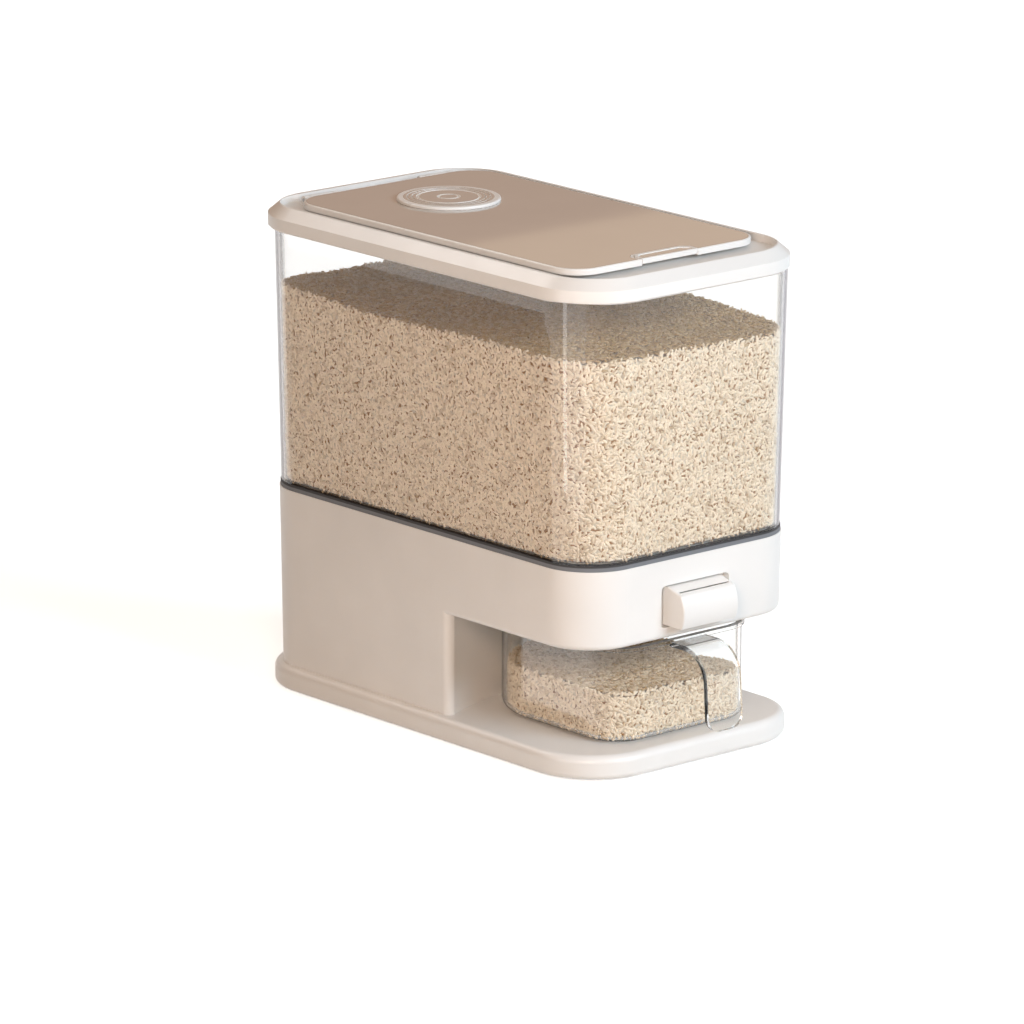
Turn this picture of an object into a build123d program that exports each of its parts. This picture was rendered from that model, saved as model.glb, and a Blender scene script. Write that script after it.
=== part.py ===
from build123d import *
import math
import os

os.makedirs("parts", exist_ok=True)

# Sizes are in millimetres. X is the width, -Y the front with the button, +Z up.

# Foot plate
FOOT_STANDOFF = 1.5
PLATE_W = 168.0
PLATE_L = 289.0
PLATE_R = 40.0
PLATE_H = 13.5
PLATE_WALL = 2.5
PLATE_TOP_EDGE = 4.5
PLATE_LOW_EDGE = 3.5
PLATE_RIB = 1.6
PLATE_RIB_PITCH = 72.0
FOOT_R = 9.0
FOOT_T = 3.0
FOOT_INSET = 24.0

# Housing
HOUSING_SIDE_IN = 3.75
HOUSING_END_IN = 6.3
HOUSING_W = PLATE_W - 2 * HOUSING_SIDE_IN
HOUSING_L = PLATE_L - 2 * HOUSING_END_IN
HOUSING_R = 30.7
HOUSING_H = 101.5
HOUSING_DRAFT = 0.888
HOUSING_WALL = 2.5
HOUSING_LEDGE = 3.0

# Bay for the cup
BAY_H = 57.5
BAY_DEPTH = 114.0
BAY_HOLLOW = 17.0
BAY_EDGE_IN = 6.25
BAY_EDGE_X = HOUSING_W / 2 - BAY_EDGE_IN
BAY_PILLAR_Y = BAY_DEPTH - HOUSING_L / 2
BAY_BACK_Y = BAY_PILLAR_Y + BAY_HOLLOW
PILLAR_ROUND = 4.2
VALANCE_LIP = 3.0
VALANCE_EDGE = 4.5
VALANCE_ROUND = 3.0
CEILING_T = 2.5

# Hopper and its outlet
HOPPER_WALL = 2.2
HOPPER_FLANGE = 2.6
HOPPER_LIP = 7.0
OUTLET_W = 44.0
OUTLET_L = 11.0
OUTLET_IN = 63.7
OUTLET_Y = OUTLET_IN - HOUSING_L / 2
OUTLET_ROUND = 3.0

# Button, shutter and return springs
TRAVEL = 12.0
BUTTON_W = 40.0
BUTTON_H = 21.6
BUTTON_LIFT = 7.3
BUTTON_REACH = 13.2
BUTTON_WALL = 2.0
BUTTON_FACE_T = 3.5
BUTTON_LOW_ROUND = 2.0
BUTTON_BROW = 3.0
BUTTON_BROW_ROUND = 2.5
BUTTON_END_ROUND = 1.0
RECESS_MARGIN_X = 4.7
RECESS_MARGIN_Z = 1.0
RECESS_DEPTH = 4.0
RECESS_ROUND = 3.0
SHUTTER_T = 2.5
SHUTTER_W = 59.0
SHUTTER_LAP = 18.0
GUIDE_T = 1.5
GUIDE_MARGIN = 14.0
GUIDE_SCREW_IN_X = 4.0
GUIDE_SCREW_IN_Y = 6.0
RAIL_T = 2.4
SPOUT_WALL = 1.6
SPOUT_DROP = 5.5
SPRING_R = 3.0
SPRING_WIRE = 0.8
SPRING_TURNS = 7
SPRING_L = 30.0
SPRING_X = 36.5
SPRING_LIFT = 5.0
ROD_R = 1.4
LUG_T = 2.5

# Gasket and clear bin
GASKET_T = 3.5
BIN_INSET = 0.8
BIN_DRAFT = 1.186
BIN_WALL = 2.4
BIN_SHOWN = 143.6
BIN_FOOT_IN = 4.0
BIN_FOOT_T = 1.6

# Lid
LID_OVERHANG = 1.5
LID_W = PLATE_W
LID_L = PLATE_L + LID_OVERHANG
LID_BACK = 2.15
LID_R = 38.0
LID_SKIRT = 7.5
LID_BROW_H = 5.5
LID_BROW_IN = 6.5
LID_LOW_EDGE = 1.0
LID_RIM_ROUND = 1.2
RIM_SIDE_IN = 9.0
RIM_FRONT_IN = 10.0
RIM_REAR_IN = 9.4
RIM_W = LID_W - 2 * RIM_SIDE_IN
RIM_FRONT = LID_L / 2 - LID_BACK - RIM_FRONT_IN
RIM_REAR = LID_L / 2 + LID_BACK - RIM_REAR_IN
RIM_R = 23.0
RIM_DEPTH = 4.0
LID_FLOOR = 2.4
COLLAR_T = 1.8
COLLAR_H = 2.6
PLUG_H = 5.5
PLUG_T = 1.8
SEAL_T = 1.5

# Flap, its hinge and its press tab
FLAP_SIDE_IN = 6.5
FLAP_FRONT_IN = 17.5
FLAP_REAR_IN = 14.8
FLAP_W = RIM_W - 2 * FLAP_SIDE_IN
FLAP_FRONT = RIM_FRONT - FLAP_FRONT_IN
FLAP_REAR = RIM_REAR - FLAP_REAR_IN
FLAP_R = 17.0
FLAP_REAR_R = 20.0
FLAP_PROUD = 1.7
FLAP_T = 2.2
FLAP_EDGE = 3.4
FLAP_SKIRT_T = 1.8
FLAP_ROUND = 1.0
PANEL_IN = 1.2
PANEL_T = 0.8
HINGE_BACK = 4.6
HINGE_Y = FLAP_REAR + HINGE_BACK
HINGE_DROP = 2.9
KNUCKLE_R = 2.2
KNUCKLE_L = 16.0
KNUCKLE_IN = 26.5
KNUCKLE_X = FLAP_W / 2 - KNUCKLE_IN
HINGE_PIN_R = 1.1
LUG_W = 4.0
TAB_W = 40.0
TAB_L = 10.5
TAB_CUT = 4.0
TAB_PROUD = 0.3
TAB_FLANGE = 1.2
TAB_FLANGE_T = 0.8
TAB_BORDER = 1.4
TAB_DISH = 0.5
TAB_ROUND = 0.4

# Mouth in the lid's floor, under the flap
MOUTH_SIDE_IN = 10.5
MOUTH_FRONT_IN = 19.6
MOUTH_REAR_IN = 19.2
MOUTH_W = FLAP_W - 2 * MOUTH_SIDE_IN
MOUTH_L = FLAP_FRONT + FLAP_REAR - MOUTH_FRONT_IN - MOUTH_REAR_IN
MOUTH_BACK = (FLAP_REAR - MOUTH_REAR_IN - FLAP_FRONT + MOUTH_FRONT_IN) / 2
MOUTH_R = 18.0

# Moisture box and its twist cap
DIAL_FORWARD = 56.1
DIAL_Y = FLAP_REAR - DIAL_FORWARD
DIAL_D = 58.0
DIAL_PROUD = 1.7
DIAL_ROUND = 0.9
DIAL_RING_R = 6.3
DIAL_RING_W = 1.0
DIAL_RING_DEPTH = 0.4
DIAL_HUB_R = 25.0
DIAL_HUB_DROP = 2.0
DIAL_SKIN = 0.6
DIAL_GROOVE_IN = 17.5
DIAL_GROOVES = 3
DIAL_GROOVE_PITCH = 2.7
DIAL_GROOVE_R = 0.55
BAYONET_REACH = 1.4
BAYONET_COUNT = 3
BAYONET_W = 7.0
BAYONET_ROOM = 2.0
BAYONET_T = 1.2
BOX_R = 22.0
BOX_H = 9.0
BOX_WALL = 1.5
BOX_SLOTS = 12
BOX_SLOT_L = 9.0
BOX_SLOT_W = 1.6
BOX_SLOT_RING = 13.2

# Measuring cup
CUP_SIDE_ROOM = 27.25
CUP_FRONT_ROOM = 6.6
CUP_REAR_ROOM = 4.2
CUP_HALF_W = HOUSING_W / 2 - CUP_SIDE_ROOM
CUP_FRONT = HOUSING_L / 2 - CUP_FRONT_ROOM
CUP_REAR = CUP_REAR_ROOM - BAY_BACK_Y
CUP_FRONT_R = 22.0
CUP_REAR_FLAT = 16.0
CUP_REAR_R = CUP_HALF_W - CUP_REAR_FLAT / 2
CUP_H = 54.0
CUP_WALL = 2.2
CUP_ROUND = 6.0
CUP_LIP = 1.5
CUP_LIP_T = 2.0
STRAP_W = 25.0
STRAP_T = 2.8
STRAP_REACH = 29.0
STRAP_LEAN = 3.0
STRAP_H = 46.0
STRAP_BEND = 19.0
STRAP_END_R = 8.0

# Fasteners
SCREW_R = 1.5
SCREW_HEAD_R = 3.0
SCREW_HEAD_T = 2.0
BOSS_R = 4.2
BOSS_H = 22.0
SCREW_BEHIND_BAY = 8.0
SCREW_END_IN = 38.2

# Clearances
SEAT = 0.3
SLIDE = 0.3
RUNNING = 0.05

# Heights that follow
PLATE_TOP = FOOT_STANDOFF + PLATE_H
VALANCE_Z = PLATE_TOP + BAY_H
BUTTON_Z = VALANCE_Z + BUTTON_LIFT
CEILING_Z = VALANCE_Z + VALANCE_LIP
CEILING_TOP = CEILING_Z + CEILING_T
HOUSING_TOP = PLATE_TOP + HOUSING_H
BIN_Z = HOUSING_TOP + GASKET_T
LID_Z = BIN_Z + BIN_SHOWN
CREASE_Z = LID_Z + LID_SKIRT
RIM_Z = CREASE_Z + LID_BROW_H
FLOOR_Z = RIM_Z - RIM_DEPTH
FLAP_TOP = RIM_Z + FLAP_PROUD
DIAL_TOP = FLAP_TOP + DIAL_PROUD
SHUTTER_Z = CEILING_TOP + GUIDE_T + SLIDE
SHUTTER_TOP = SHUTTER_Z + SHUTTER_T
OUTLET_Z = SHUTTER_TOP + SLIDE
RIM_TOP_OF_BIN = FLOOR_Z - LID_FLOOR - SEAT
LID_REAR = LID_L / 2 + LID_BACK
CUP_TOP = PLATE_TOP + SEAT + CUP_H
HANDLE_REACH = CUP_FRONT + STRAP_REACH + STRAP_LEAN

# The whole object is centred on the origin, and the handle stands out in front
BODY_Y = (HANDLE_REACH - LID_REAR) / 2


def level(z, x=0.0, y=0.0):
    """A plane facing up, with x and y measured from the middle of the housing."""
    return Plane((x, BODY_Y + y, z))


def facing_front(y):
    """A plane facing the front: its first axis is +X and its second +Z."""
    return Plane((0, BODY_Y + y, 0), x_dir=(1, 0, 0), z_dir=(0, -1, 0))


def facing_side(x):
    """A plane facing +X: its first axis is +Y and its second +Z."""
    return Plane((x, BODY_Y, 0), x_dir=(0, 1, 0), z_dir=(1, 0, 0))


def drafted(height, draft):
    """How far a wall moves sideways over a height at a draft angle."""
    return height * math.tan(math.radians(draft))


def housing_outline(z, inset=0.0, mode=Mode.ADD):
    """The housing's plan at a height."""
    move = inset + drafted(HOUSING_TOP - z, HOUSING_DRAFT)
    RectangleRounded(HOUSING_W - 2 * move, HOUSING_L - 2 * move, HOUSING_R - move, mode=mode)


def bin_outline(z, inset=0.0):
    """The clear bin's plan at a height."""
    move = BIN_INSET + inset - drafted(z - BIN_Z, BIN_DRAFT)
    RectangleRounded(HOUSING_W - 2 * move, HOUSING_L - 2 * move, HOUSING_R - move)


def bay_plan(grow=0.0, mode=Mode.ADD):
    """Everything in front of the bay's curved rear wall."""
    pillar_y, back_y, reach = BAY_PILLAR_Y + grow, BAY_BACK_Y + grow, HOUSING_L
    with BuildLine() as outline:
        ThreePointArc((-BAY_EDGE_X, pillar_y), (0, back_y), (BAY_EDGE_X, pillar_y))
        Polyline((BAY_EDGE_X, pillar_y), (HOUSING_W, pillar_y), (HOUSING_W, -reach), (-HOUSING_W, -reach),
                 (-HOUSING_W, pillar_y), (-BAY_EDGE_X, pillar_y))
    make_face(outline.edges(), mode=mode)


def uneven_round(half_w, front, rear, front_r, rear_r, cut=0.0):
    """A rounded plan whose front and rear corners differ, drawn about the housing's middle."""
    w, f, r = half_w - cut, front - cut, rear - cut
    a, b = front_r - cut, rear_r - cut
    d = math.sqrt(0.5)
    with BuildLine() as outline:
        Line((-w + a, -f), (w - a, -f))
        ThreePointArc((w - a, -f), (w - a + a * d, -f + a - a * d), (w, -f + a))
        Line((w, -f + a), (w, r - b))
        ThreePointArc((w, r - b), (w - b + b * d, r - b + b * d), (w - b, r))
        if w - b > 0.01:
            Line((w - b, r), (-w + b, r))
        ThreePointArc((-w + b, r), (-w + b - b * d, r - b + b * d), (-w, r - b))
        Line((-w, r - b), (-w, -f + a))
        ThreePointArc((-w, -f + a), (-w + a - a * d, -f + a - a * d), (-w + a, -f))
    make_face(outline.edges())


FOOT_X = PLATE_W / 2 - FOOT_INSET
FOOT_Y = PLATE_L / 2 - FOOT_INSET
FEET = [(x, y) for x in (-FOOT_X, FOOT_X) for y in (-FOOT_Y, FOOT_Y)]
SCREW_X = HOUSING_W / 2 - HOUSING_WALL - BOSS_R
SCREW_Y0 = BAY_BACK_Y + SCREW_BEHIND_BAY
SCREW_Y1 = HOUSING_L / 2 - SCREW_END_IN
BASE_SCREWS = [(x, y) for x in (-SCREW_X, SCREW_X) for y in (SCREW_Y0, (SCREW_Y0 + SCREW_Y1) / 2, SCREW_Y1)]
PLATE_UNDER = PLATE_TOP - PLATE_WALL
PLATE_IN = PLATE_LOW_EDGE + PLATE_WALL

# The foot plate, hollow and ribbed underneath
with BuildPart() as base_plate:
    with BuildSketch(level(FOOT_STANDOFF)):
        RectangleRounded(PLATE_W, PLATE_L, PLATE_R)
    extrude(amount=PLATE_H)
    fillet(base_plate.faces().sort_by(Axis.Z)[-1].edges(), PLATE_TOP_EDGE)
    fillet(base_plate.faces().sort_by(Axis.Z)[0].edges(), PLATE_LOW_EDGE)
    with BuildSketch(level(FOOT_STANDOFF)):
        RectangleRounded(PLATE_W - 2 * PLATE_IN, PLATE_L - 2 * PLATE_IN, PLATE_R - PLATE_IN)
    extrude(amount=PLATE_H - PLATE_WALL, mode=Mode.SUBTRACT)
    rib_rows = int((PLATE_L / 2 - PLATE_WALL) // PLATE_RIB_PITCH)
    with BuildSketch(level(FOOT_STANDOFF + PLATE_LOW_EDGE)):
        for row in range(-rib_rows, rib_rows + 1):
            with Locations((0, row * PLATE_RIB_PITCH)):
                Rectangle(PLATE_W - 2 * PLATE_IN + PLATE_WALL, PLATE_RIB)
        Rectangle(PLATE_RIB, PLATE_L - 2 * PLATE_IN + PLATE_WALL)
    extrude(until=Until.NEXT)
    with BuildSketch(level(FOOT_STANDOFF + SEAT)):
        with Locations(*FEET):
            Circle(FOOT_R + PLATE_WALL)
    extrude(amount=PLATE_H - PLATE_WALL - SEAT)
    with BuildSketch(level(FOOT_STANDOFF)):
        with Locations(*BASE_SCREWS):
            Circle(SCREW_HEAD_R + 2 * SEAT + PLATE_RIB)
    extrude(amount=PLATE_H)
    with BuildSketch(level(0)):
        with Locations(*FEET):
            Circle(FOOT_R + SEAT / 3)
    extrude(amount=FOOT_T, mode=Mode.SUBTRACT)
    with BuildSketch(level(0)):
        with Locations(*BASE_SCREWS):
            Circle(SCREW_HEAD_R + SEAT)
    extrude(amount=PLATE_UNDER, mode=Mode.SUBTRACT)
    with BuildSketch(level(0)):
        with Locations(*BASE_SCREWS):
            Circle(SCREW_R + RUNNING)
    extrude(amount=PLATE_TOP + PLATE_WALL, mode=Mode.SUBTRACT)
base_plate.part.label = "base_plate"
export_step(base_plate.part, "parts/base_plate.step")

# Four rubber feet in the plate's cups
for number, (foot_x, foot_y) in enumerate(FEET, 1):
    with BuildPart() as rubber_foot:
        with BuildSketch(level(0, foot_x, foot_y)):
            Circle(FOOT_R)
        extrude(amount=FOOT_T)
        chamfer(rubber_foot.faces().sort_by(Axis.Z)[0].edges(), FOOT_STANDOFF / 2)
    rubber_foot.part.label = f"rubber_foot_{number}"
    export_step(rubber_foot.part, f"parts/rubber_foot_{number}.step")

# The inside of the housing: open below behind the bay and open above all over
with BuildPart() as housing_inside:
    with BuildSketch(level(PLATE_TOP)):
        housing_outline(PLATE_TOP, HOUSING_WALL)
    extrude(amount=HOUSING_H, taper=-HOUSING_DRAFT)
    with BuildSketch(level(PLATE_TOP)):
        bay_plan(HOUSING_WALL)
    extrude(amount=CEILING_TOP - PLATE_TOP, mode=Mode.SUBTRACT)

RECESS_W = BUTTON_W + 2 * RECESS_MARGIN_X
RECESS_H = BUTTON_H + 2 * RECESS_MARGIN_Z
BUTTON_MID_Z = BUTTON_Z + BUTTON_H / 2
FACE_Y = -(HOUSING_L / 2 - drafted(HOUSING_TOP - BUTTON_MID_Z, HOUSING_DRAFT))
POCKET_Y = FACE_Y + RECESS_DEPTH
LEDGE_Z = HOUSING_TOP - HOPPER_FLANGE - HOUSING_LEDGE
GUIDE_FRONT = OUTLET_Y - OUTLET_L / 2 - TRAVEL - SPRING_L - LUG_T
GUIDE_REAR = OUTLET_Y + OUTLET_L / 2 + SHUTTER_LAP + TRAVEL
GUIDE_HALF_W = SPRING_X + SPRING_R + GUIDE_MARGIN / 2
GUIDE_SCREW_X = GUIDE_HALF_W - GUIDE_SCREW_IN_X
GUIDE_SCREW_YS = (GUIDE_FRONT + GUIDE_SCREW_IN_Y, GUIDE_REAR - GUIDE_SCREW_IN_Y)
GUIDE_SCREWS = [(x, y) for x in (-GUIDE_SCREW_X, GUIDE_SCREW_X) for y in GUIDE_SCREW_YS]

# The housing: tapered shell, bay with a concave back, valance and button recess
with BuildPart() as base_housing:
    with BuildSketch(level(PLATE_TOP)):
        housing_outline(PLATE_TOP)
    extrude(amount=HOUSING_H, taper=-HOUSING_DRAFT)
    with BuildSketch(level(PLATE_TOP)):
        bay_plan()
    extrude(amount=BAY_H, mode=Mode.SUBTRACT)
    pillar_edges = base_housing.edges().filter_by(
        lambda e: abs(e.center().Y - (BODY_Y + BAY_PILLAR_Y)) < 0.1
        and abs(e.center().X) > BAY_EDGE_X + BAY_EDGE_IN / 2 and e.bounding_box().size.Z > BAY_H / 2)
    fillet(pillar_edges, PILLAR_ROUND)
    lip_edges = base_housing.edges().filter_by(
        lambda e: abs(e.center().Z - VALANCE_Z) < 0.1 and e.center().Y < BODY_Y + BAY_PILLAR_Y - 1
        and e.bounding_box().max.Y < BODY_Y + BAY_PILLAR_Y + 1)
    fillet(lip_edges, VALANCE_ROUND)
    add(housing_inside.part, mode=Mode.SUBTRACT)
    with BuildSketch(level(VALANCE_Z)):
        housing_outline(VALANCE_Z, VALANCE_EDGE)
        bay_plan(mode=Mode.INTERSECT)
    extrude(amount=VALANCE_LIP, mode=Mode.SUBTRACT)
    with BuildSketch(level(LEDGE_Z)):
        housing_outline(LEDGE_Z, HOUSING_WALL / 2)
        housing_outline(LEDGE_Z, HOUSING_WALL + HOUSING_LEDGE, Mode.SUBTRACT)
    extrude(amount=HOUSING_LEDGE)
    with BuildSketch(level(PLATE_TOP)):
        with Locations(*BASE_SCREWS):
            Circle(BOSS_R)
    extrude(amount=BOSS_H)
    with BuildSketch(level(PLATE_TOP)):
        with Locations(*BASE_SCREWS):
            Circle(SCREW_R + RUNNING)
    extrude(amount=BOSS_H - HOUSING_WALL, mode=Mode.SUBTRACT)
    with BuildSketch(facing_front(FACE_Y + HOUSING_WALL / 2)):
        with Locations((0, BUTTON_MID_Z)):
            RectangleRounded(RECESS_W + 2 * BUTTON_WALL, RECESS_H + 2 * BUTTON_WALL,
                             RECESS_ROUND + BUTTON_WALL)
    extrude(amount=-(RECESS_DEPTH + BUTTON_WALL - HOUSING_WALL / 2))
    with BuildSketch(facing_front(FACE_Y - HOUSING_WALL)):
        with Locations((0, BUTTON_MID_Z)):
            RectangleRounded(RECESS_W, RECESS_H, RECESS_ROUND)
    extrude(amount=-(RECESS_DEPTH + HOUSING_WALL), mode=Mode.SUBTRACT)
    with BuildSketch(facing_front(FACE_Y - HOUSING_WALL)):
        with Locations((0, BUTTON_MID_Z)):
            Rectangle(BUTTON_W + 2 * SLIDE, BUTTON_H + 2 * SLIDE)
    extrude(amount=-(RECESS_DEPTH + 4 * HOUSING_WALL), mode=Mode.SUBTRACT)
    with BuildSketch(level(CEILING_Z - VALANCE_LIP)):
        with Locations((0, OUTLET_Y)):
            RectangleRounded(OUTLET_W + 2 * (SPOUT_WALL + SEAT), OUTLET_L + 2 * (SPOUT_WALL + SEAT),
                             OUTLET_ROUND)
    extrude(amount=CEILING_T + VALANCE_LIP, mode=Mode.SUBTRACT)
    with BuildSketch(level(CEILING_Z)):
        with Locations(*GUIDE_SCREWS):
            Circle(SCREW_R + RUNNING)
    extrude(amount=CEILING_T, mode=Mode.SUBTRACT)
base_housing.part.label = "base_housing"
export_step(base_housing.part, "parts/base_housing.step")

# Screws up through the foot plate into the housing's bosses
with BuildPart() as base_screws:
    with BuildSketch(level(PLATE_UNDER - SCREW_HEAD_T)):
        with Locations(*BASE_SCREWS):
            Circle(SCREW_HEAD_R)
    extrude(amount=SCREW_HEAD_T)
    with BuildSketch(level(PLATE_UNDER)):
        with Locations(*BASE_SCREWS):
            Circle(SCREW_R)
    extrude(amount=PLATE_WALL + BOSS_H - 3 * HOUSING_WALL)
base_screws.part.label = "base_screws"
export_step(base_screws.part, "parts/base_screws.step")

HOPPER_HALF = HOUSING_WALL + SLIDE
HOPPER_IN = BIN_INSET + BIN_WALL + BIN_FOOT_IN + SLIDE

# The hopper: flange on the housing's ledge, sloping floor down to a slot, locating lip above
with BuildPart() as hopper:
    with BuildSketch(level(HOUSING_TOP - HOPPER_FLANGE)):
        housing_outline(HOUSING_TOP - HOPPER_FLANGE, HOPPER_HALF)
    extrude(amount=HOPPER_FLANGE)
    with BuildSketch(level(HOUSING_TOP)):
        housing_outline(HOUSING_TOP, HOPPER_IN)
    extrude(amount=HOPPER_LIP)
    with BuildSketch(level(HOUSING_TOP - HOPPER_FLANGE)):
        housing_outline(HOUSING_TOP, HOPPER_IN)
    with BuildSketch(level(OUTLET_Z + HOPPER_WALL, 0, OUTLET_Y)):
        RectangleRounded(OUTLET_W + 2 * HOPPER_WALL, OUTLET_L + 2 * HOPPER_WALL, OUTLET_ROUND + HOPPER_WALL)
    loft()
    with BuildSketch(level(OUTLET_Z, 0, OUTLET_Y)):
        RectangleRounded(OUTLET_W + 2 * HOPPER_WALL, OUTLET_L + 2 * HOPPER_WALL, OUTLET_ROUND + HOPPER_WALL)
    extrude(amount=HOPPER_WALL)
    with BuildSketch(level(HOUSING_TOP + HOPPER_LIP)):
        housing_outline(HOUSING_TOP, HOPPER_IN + HOPPER_WALL)
    extrude(amount=-(HOPPER_LIP + HOPPER_FLANGE - HOPPER_WALL), mode=Mode.SUBTRACT)
    with BuildSketch(level(HOUSING_TOP - HOPPER_FLANGE + HOPPER_WALL)):
        housing_outline(HOUSING_TOP, HOPPER_IN + HOPPER_WALL)
    with BuildSketch(level(OUTLET_Z + 2 * HOPPER_WALL, 0, OUTLET_Y)):
        RectangleRounded(OUTLET_W, OUTLET_L, OUTLET_ROUND)
    loft(mode=Mode.SUBTRACT)
    with BuildSketch(level(OUTLET_Z, 0, OUTLET_Y)):
        RectangleRounded(OUTLET_W, OUTLET_L, OUTLET_ROUND)
    extrude(amount=2 * HOPPER_WALL, mode=Mode.SUBTRACT)
hopper.part.label = "hopper"
export_step(hopper.part, "parts/hopper.step")

SHUTTER_FRONT = POCKET_Y + BUTTON_WALL + SLIDE
SHUTTER_REAR = OUTLET_Y + OUTLET_L / 2 + SHUTTER_LAP / 2
WINDOW_Y = OUTLET_Y - TRAVEL
LUG_Y = OUTLET_Y - OUTLET_L / 2 - SPRING_L - LUG_T
SPRING_Y0 = LUG_Y + LUG_T + SLIDE / 2
SPRING_Z = SHUTTER_Z + SPRING_LIFT
POST_Y = SPRING_Y0 + SPRING_L + SLIDE / 2
LUG_HALF_W = SPRING_X + SPRING_R
LUG_TOP = SPRING_Z + SPRING_R

# The guide: a tray on the bay's ceiling that carries the shutter's rails, the spring posts and the spout
with BuildPart() as shutter_guide:
    with BuildSketch(level(CEILING_TOP, 0, (GUIDE_FRONT + GUIDE_REAR) / 2)):
        RectangleRounded(2 * GUIDE_HALF_W, GUIDE_REAR - GUIDE_FRONT, OUTLET_ROUND)
    extrude(amount=GUIDE_T)
    rail_y0 = POST_Y
    with BuildSketch(level(CEILING_TOP, 0, (rail_y0 + GUIDE_REAR) / 2)):
        with GridLocations(SHUTTER_W + 2 * SLIDE + RAIL_T, 0, 2, 1):
            Rectangle(RAIL_T, GUIDE_REAR - rail_y0)
    extrude(amount=GUIDE_T + SHUTTER_T + SLIDE)
    with BuildSketch(level(CEILING_TOP, 0, POST_Y + LUG_T / 2)):
        with GridLocations(2 * SPRING_X, 0, 2, 1):
            Rectangle(2 * SPRING_R, LUG_T)
    extrude(amount=LUG_TOP - CEILING_TOP)
    with BuildSketch(level(CEILING_TOP + GUIDE_T, 0, OUTLET_Y)):
        RectangleRounded(OUTLET_W + 2 * SPOUT_WALL, OUTLET_L + 2 * SPOUT_WALL, OUTLET_ROUND)
    extrude(amount=-(GUIDE_T + SPOUT_DROP))
    with BuildSketch(level(CEILING_TOP + GUIDE_T, 0, OUTLET_Y)):
        RectangleRounded(OUTLET_W, OUTLET_L, OUTLET_ROUND - SPOUT_WALL)
    extrude(amount=-(GUIDE_T + SPOUT_DROP), mode=Mode.SUBTRACT)
    with BuildSketch(level(CEILING_TOP)):
        with Locations(*GUIDE_SCREWS):
            Circle(SCREW_R + RUNNING)
    extrude(amount=GUIDE_T, mode=Mode.SUBTRACT)
    with BuildSketch(facing_front(POST_Y)):
        with Locations((-SPRING_X, SPRING_Z), (SPRING_X, SPRING_Z)):
            Circle(ROD_R + RUNNING)
    extrude(amount=-LUG_T, mode=Mode.SUBTRACT)
shutter_guide.part.label = "shutter_guide"
export_step(shutter_guide.part, "parts/shutter_guide.step")

# Screws down through the guide into the bay's ceiling
with BuildPart() as guide_screws:
    with BuildSketch(level(CEILING_TOP + GUIDE_T)):
        with Locations(*GUIDE_SCREWS):
            Circle(SCREW_HEAD_R)
    extrude(amount=SCREW_HEAD_T)
    with BuildSketch(level(CEILING_TOP + GUIDE_T)):
        with Locations(*GUIDE_SCREWS):
            Circle(SCREW_R)
    extrude(amount=-(GUIDE_T + CEILING_T))
guide_screws.part.label = "guide_screws"
export_step(guide_screws.part, "parts/guide_screws.step")

TONGUE_Z = BUTTON_Z + BUTTON_WALL + SLIDE
TONGUE_H = BUTTON_H - 2 * BUTTON_WALL - 2 * SLIDE
NOSE_W = BUTTON_W - 2 * BUTTON_WALL - 2 * SLIDE

# The shutter: a slide with a window, lugs for the springs and a tongue inside the button
with BuildPart() as shutter:
    with BuildSketch(level(SHUTTER_Z, 0, (LUG_Y + SHUTTER_REAR) / 2)):
        Rectangle(SHUTTER_W, SHUTTER_REAR - LUG_Y)
    extrude(amount=SHUTTER_T)
    with BuildSketch(level(SHUTTER_Z, 0, LUG_Y + LUG_T / 2)):
        Rectangle(2 * LUG_HALF_W, LUG_T)
    extrude(amount=LUG_TOP - SHUTTER_Z)
    with BuildSketch(level(TONGUE_Z, 0, (SHUTTER_FRONT + LUG_Y) / 2 + LUG_T / 2)):
        Rectangle(NOSE_W, LUG_Y - SHUTTER_FRONT + LUG_T)
    extrude(amount=SHUTTER_T)
    with BuildSketch(level(TONGUE_Z, 0, SHUTTER_FRONT + LUG_T / 2)):
        Rectangle(NOSE_W, LUG_T)
    extrude(amount=TONGUE_H)
    with BuildSketch(level(SHUTTER_Z, 0, WINDOW_Y)):
        RectangleRounded(OUTLET_W, OUTLET_L, OUTLET_ROUND)
    extrude(amount=SHUTTER_T, mode=Mode.SUBTRACT)
    with BuildSketch(facing_front(LUG_Y)):
        with Locations((-SPRING_X, SPRING_Z), (SPRING_X, SPRING_Z)):
            Circle(ROD_R + SLIDE)
    extrude(amount=-LUG_T, mode=Mode.SUBTRACT)
shutter.part.label = "shutter"
export_step(shutter.part, "parts/shutter.step")

BUTTON_BACK = SHUTTER_FRONT + LUG_T + SLIDE
BUTTON_FRONT = FACE_Y - BUTTON_REACH

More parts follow.
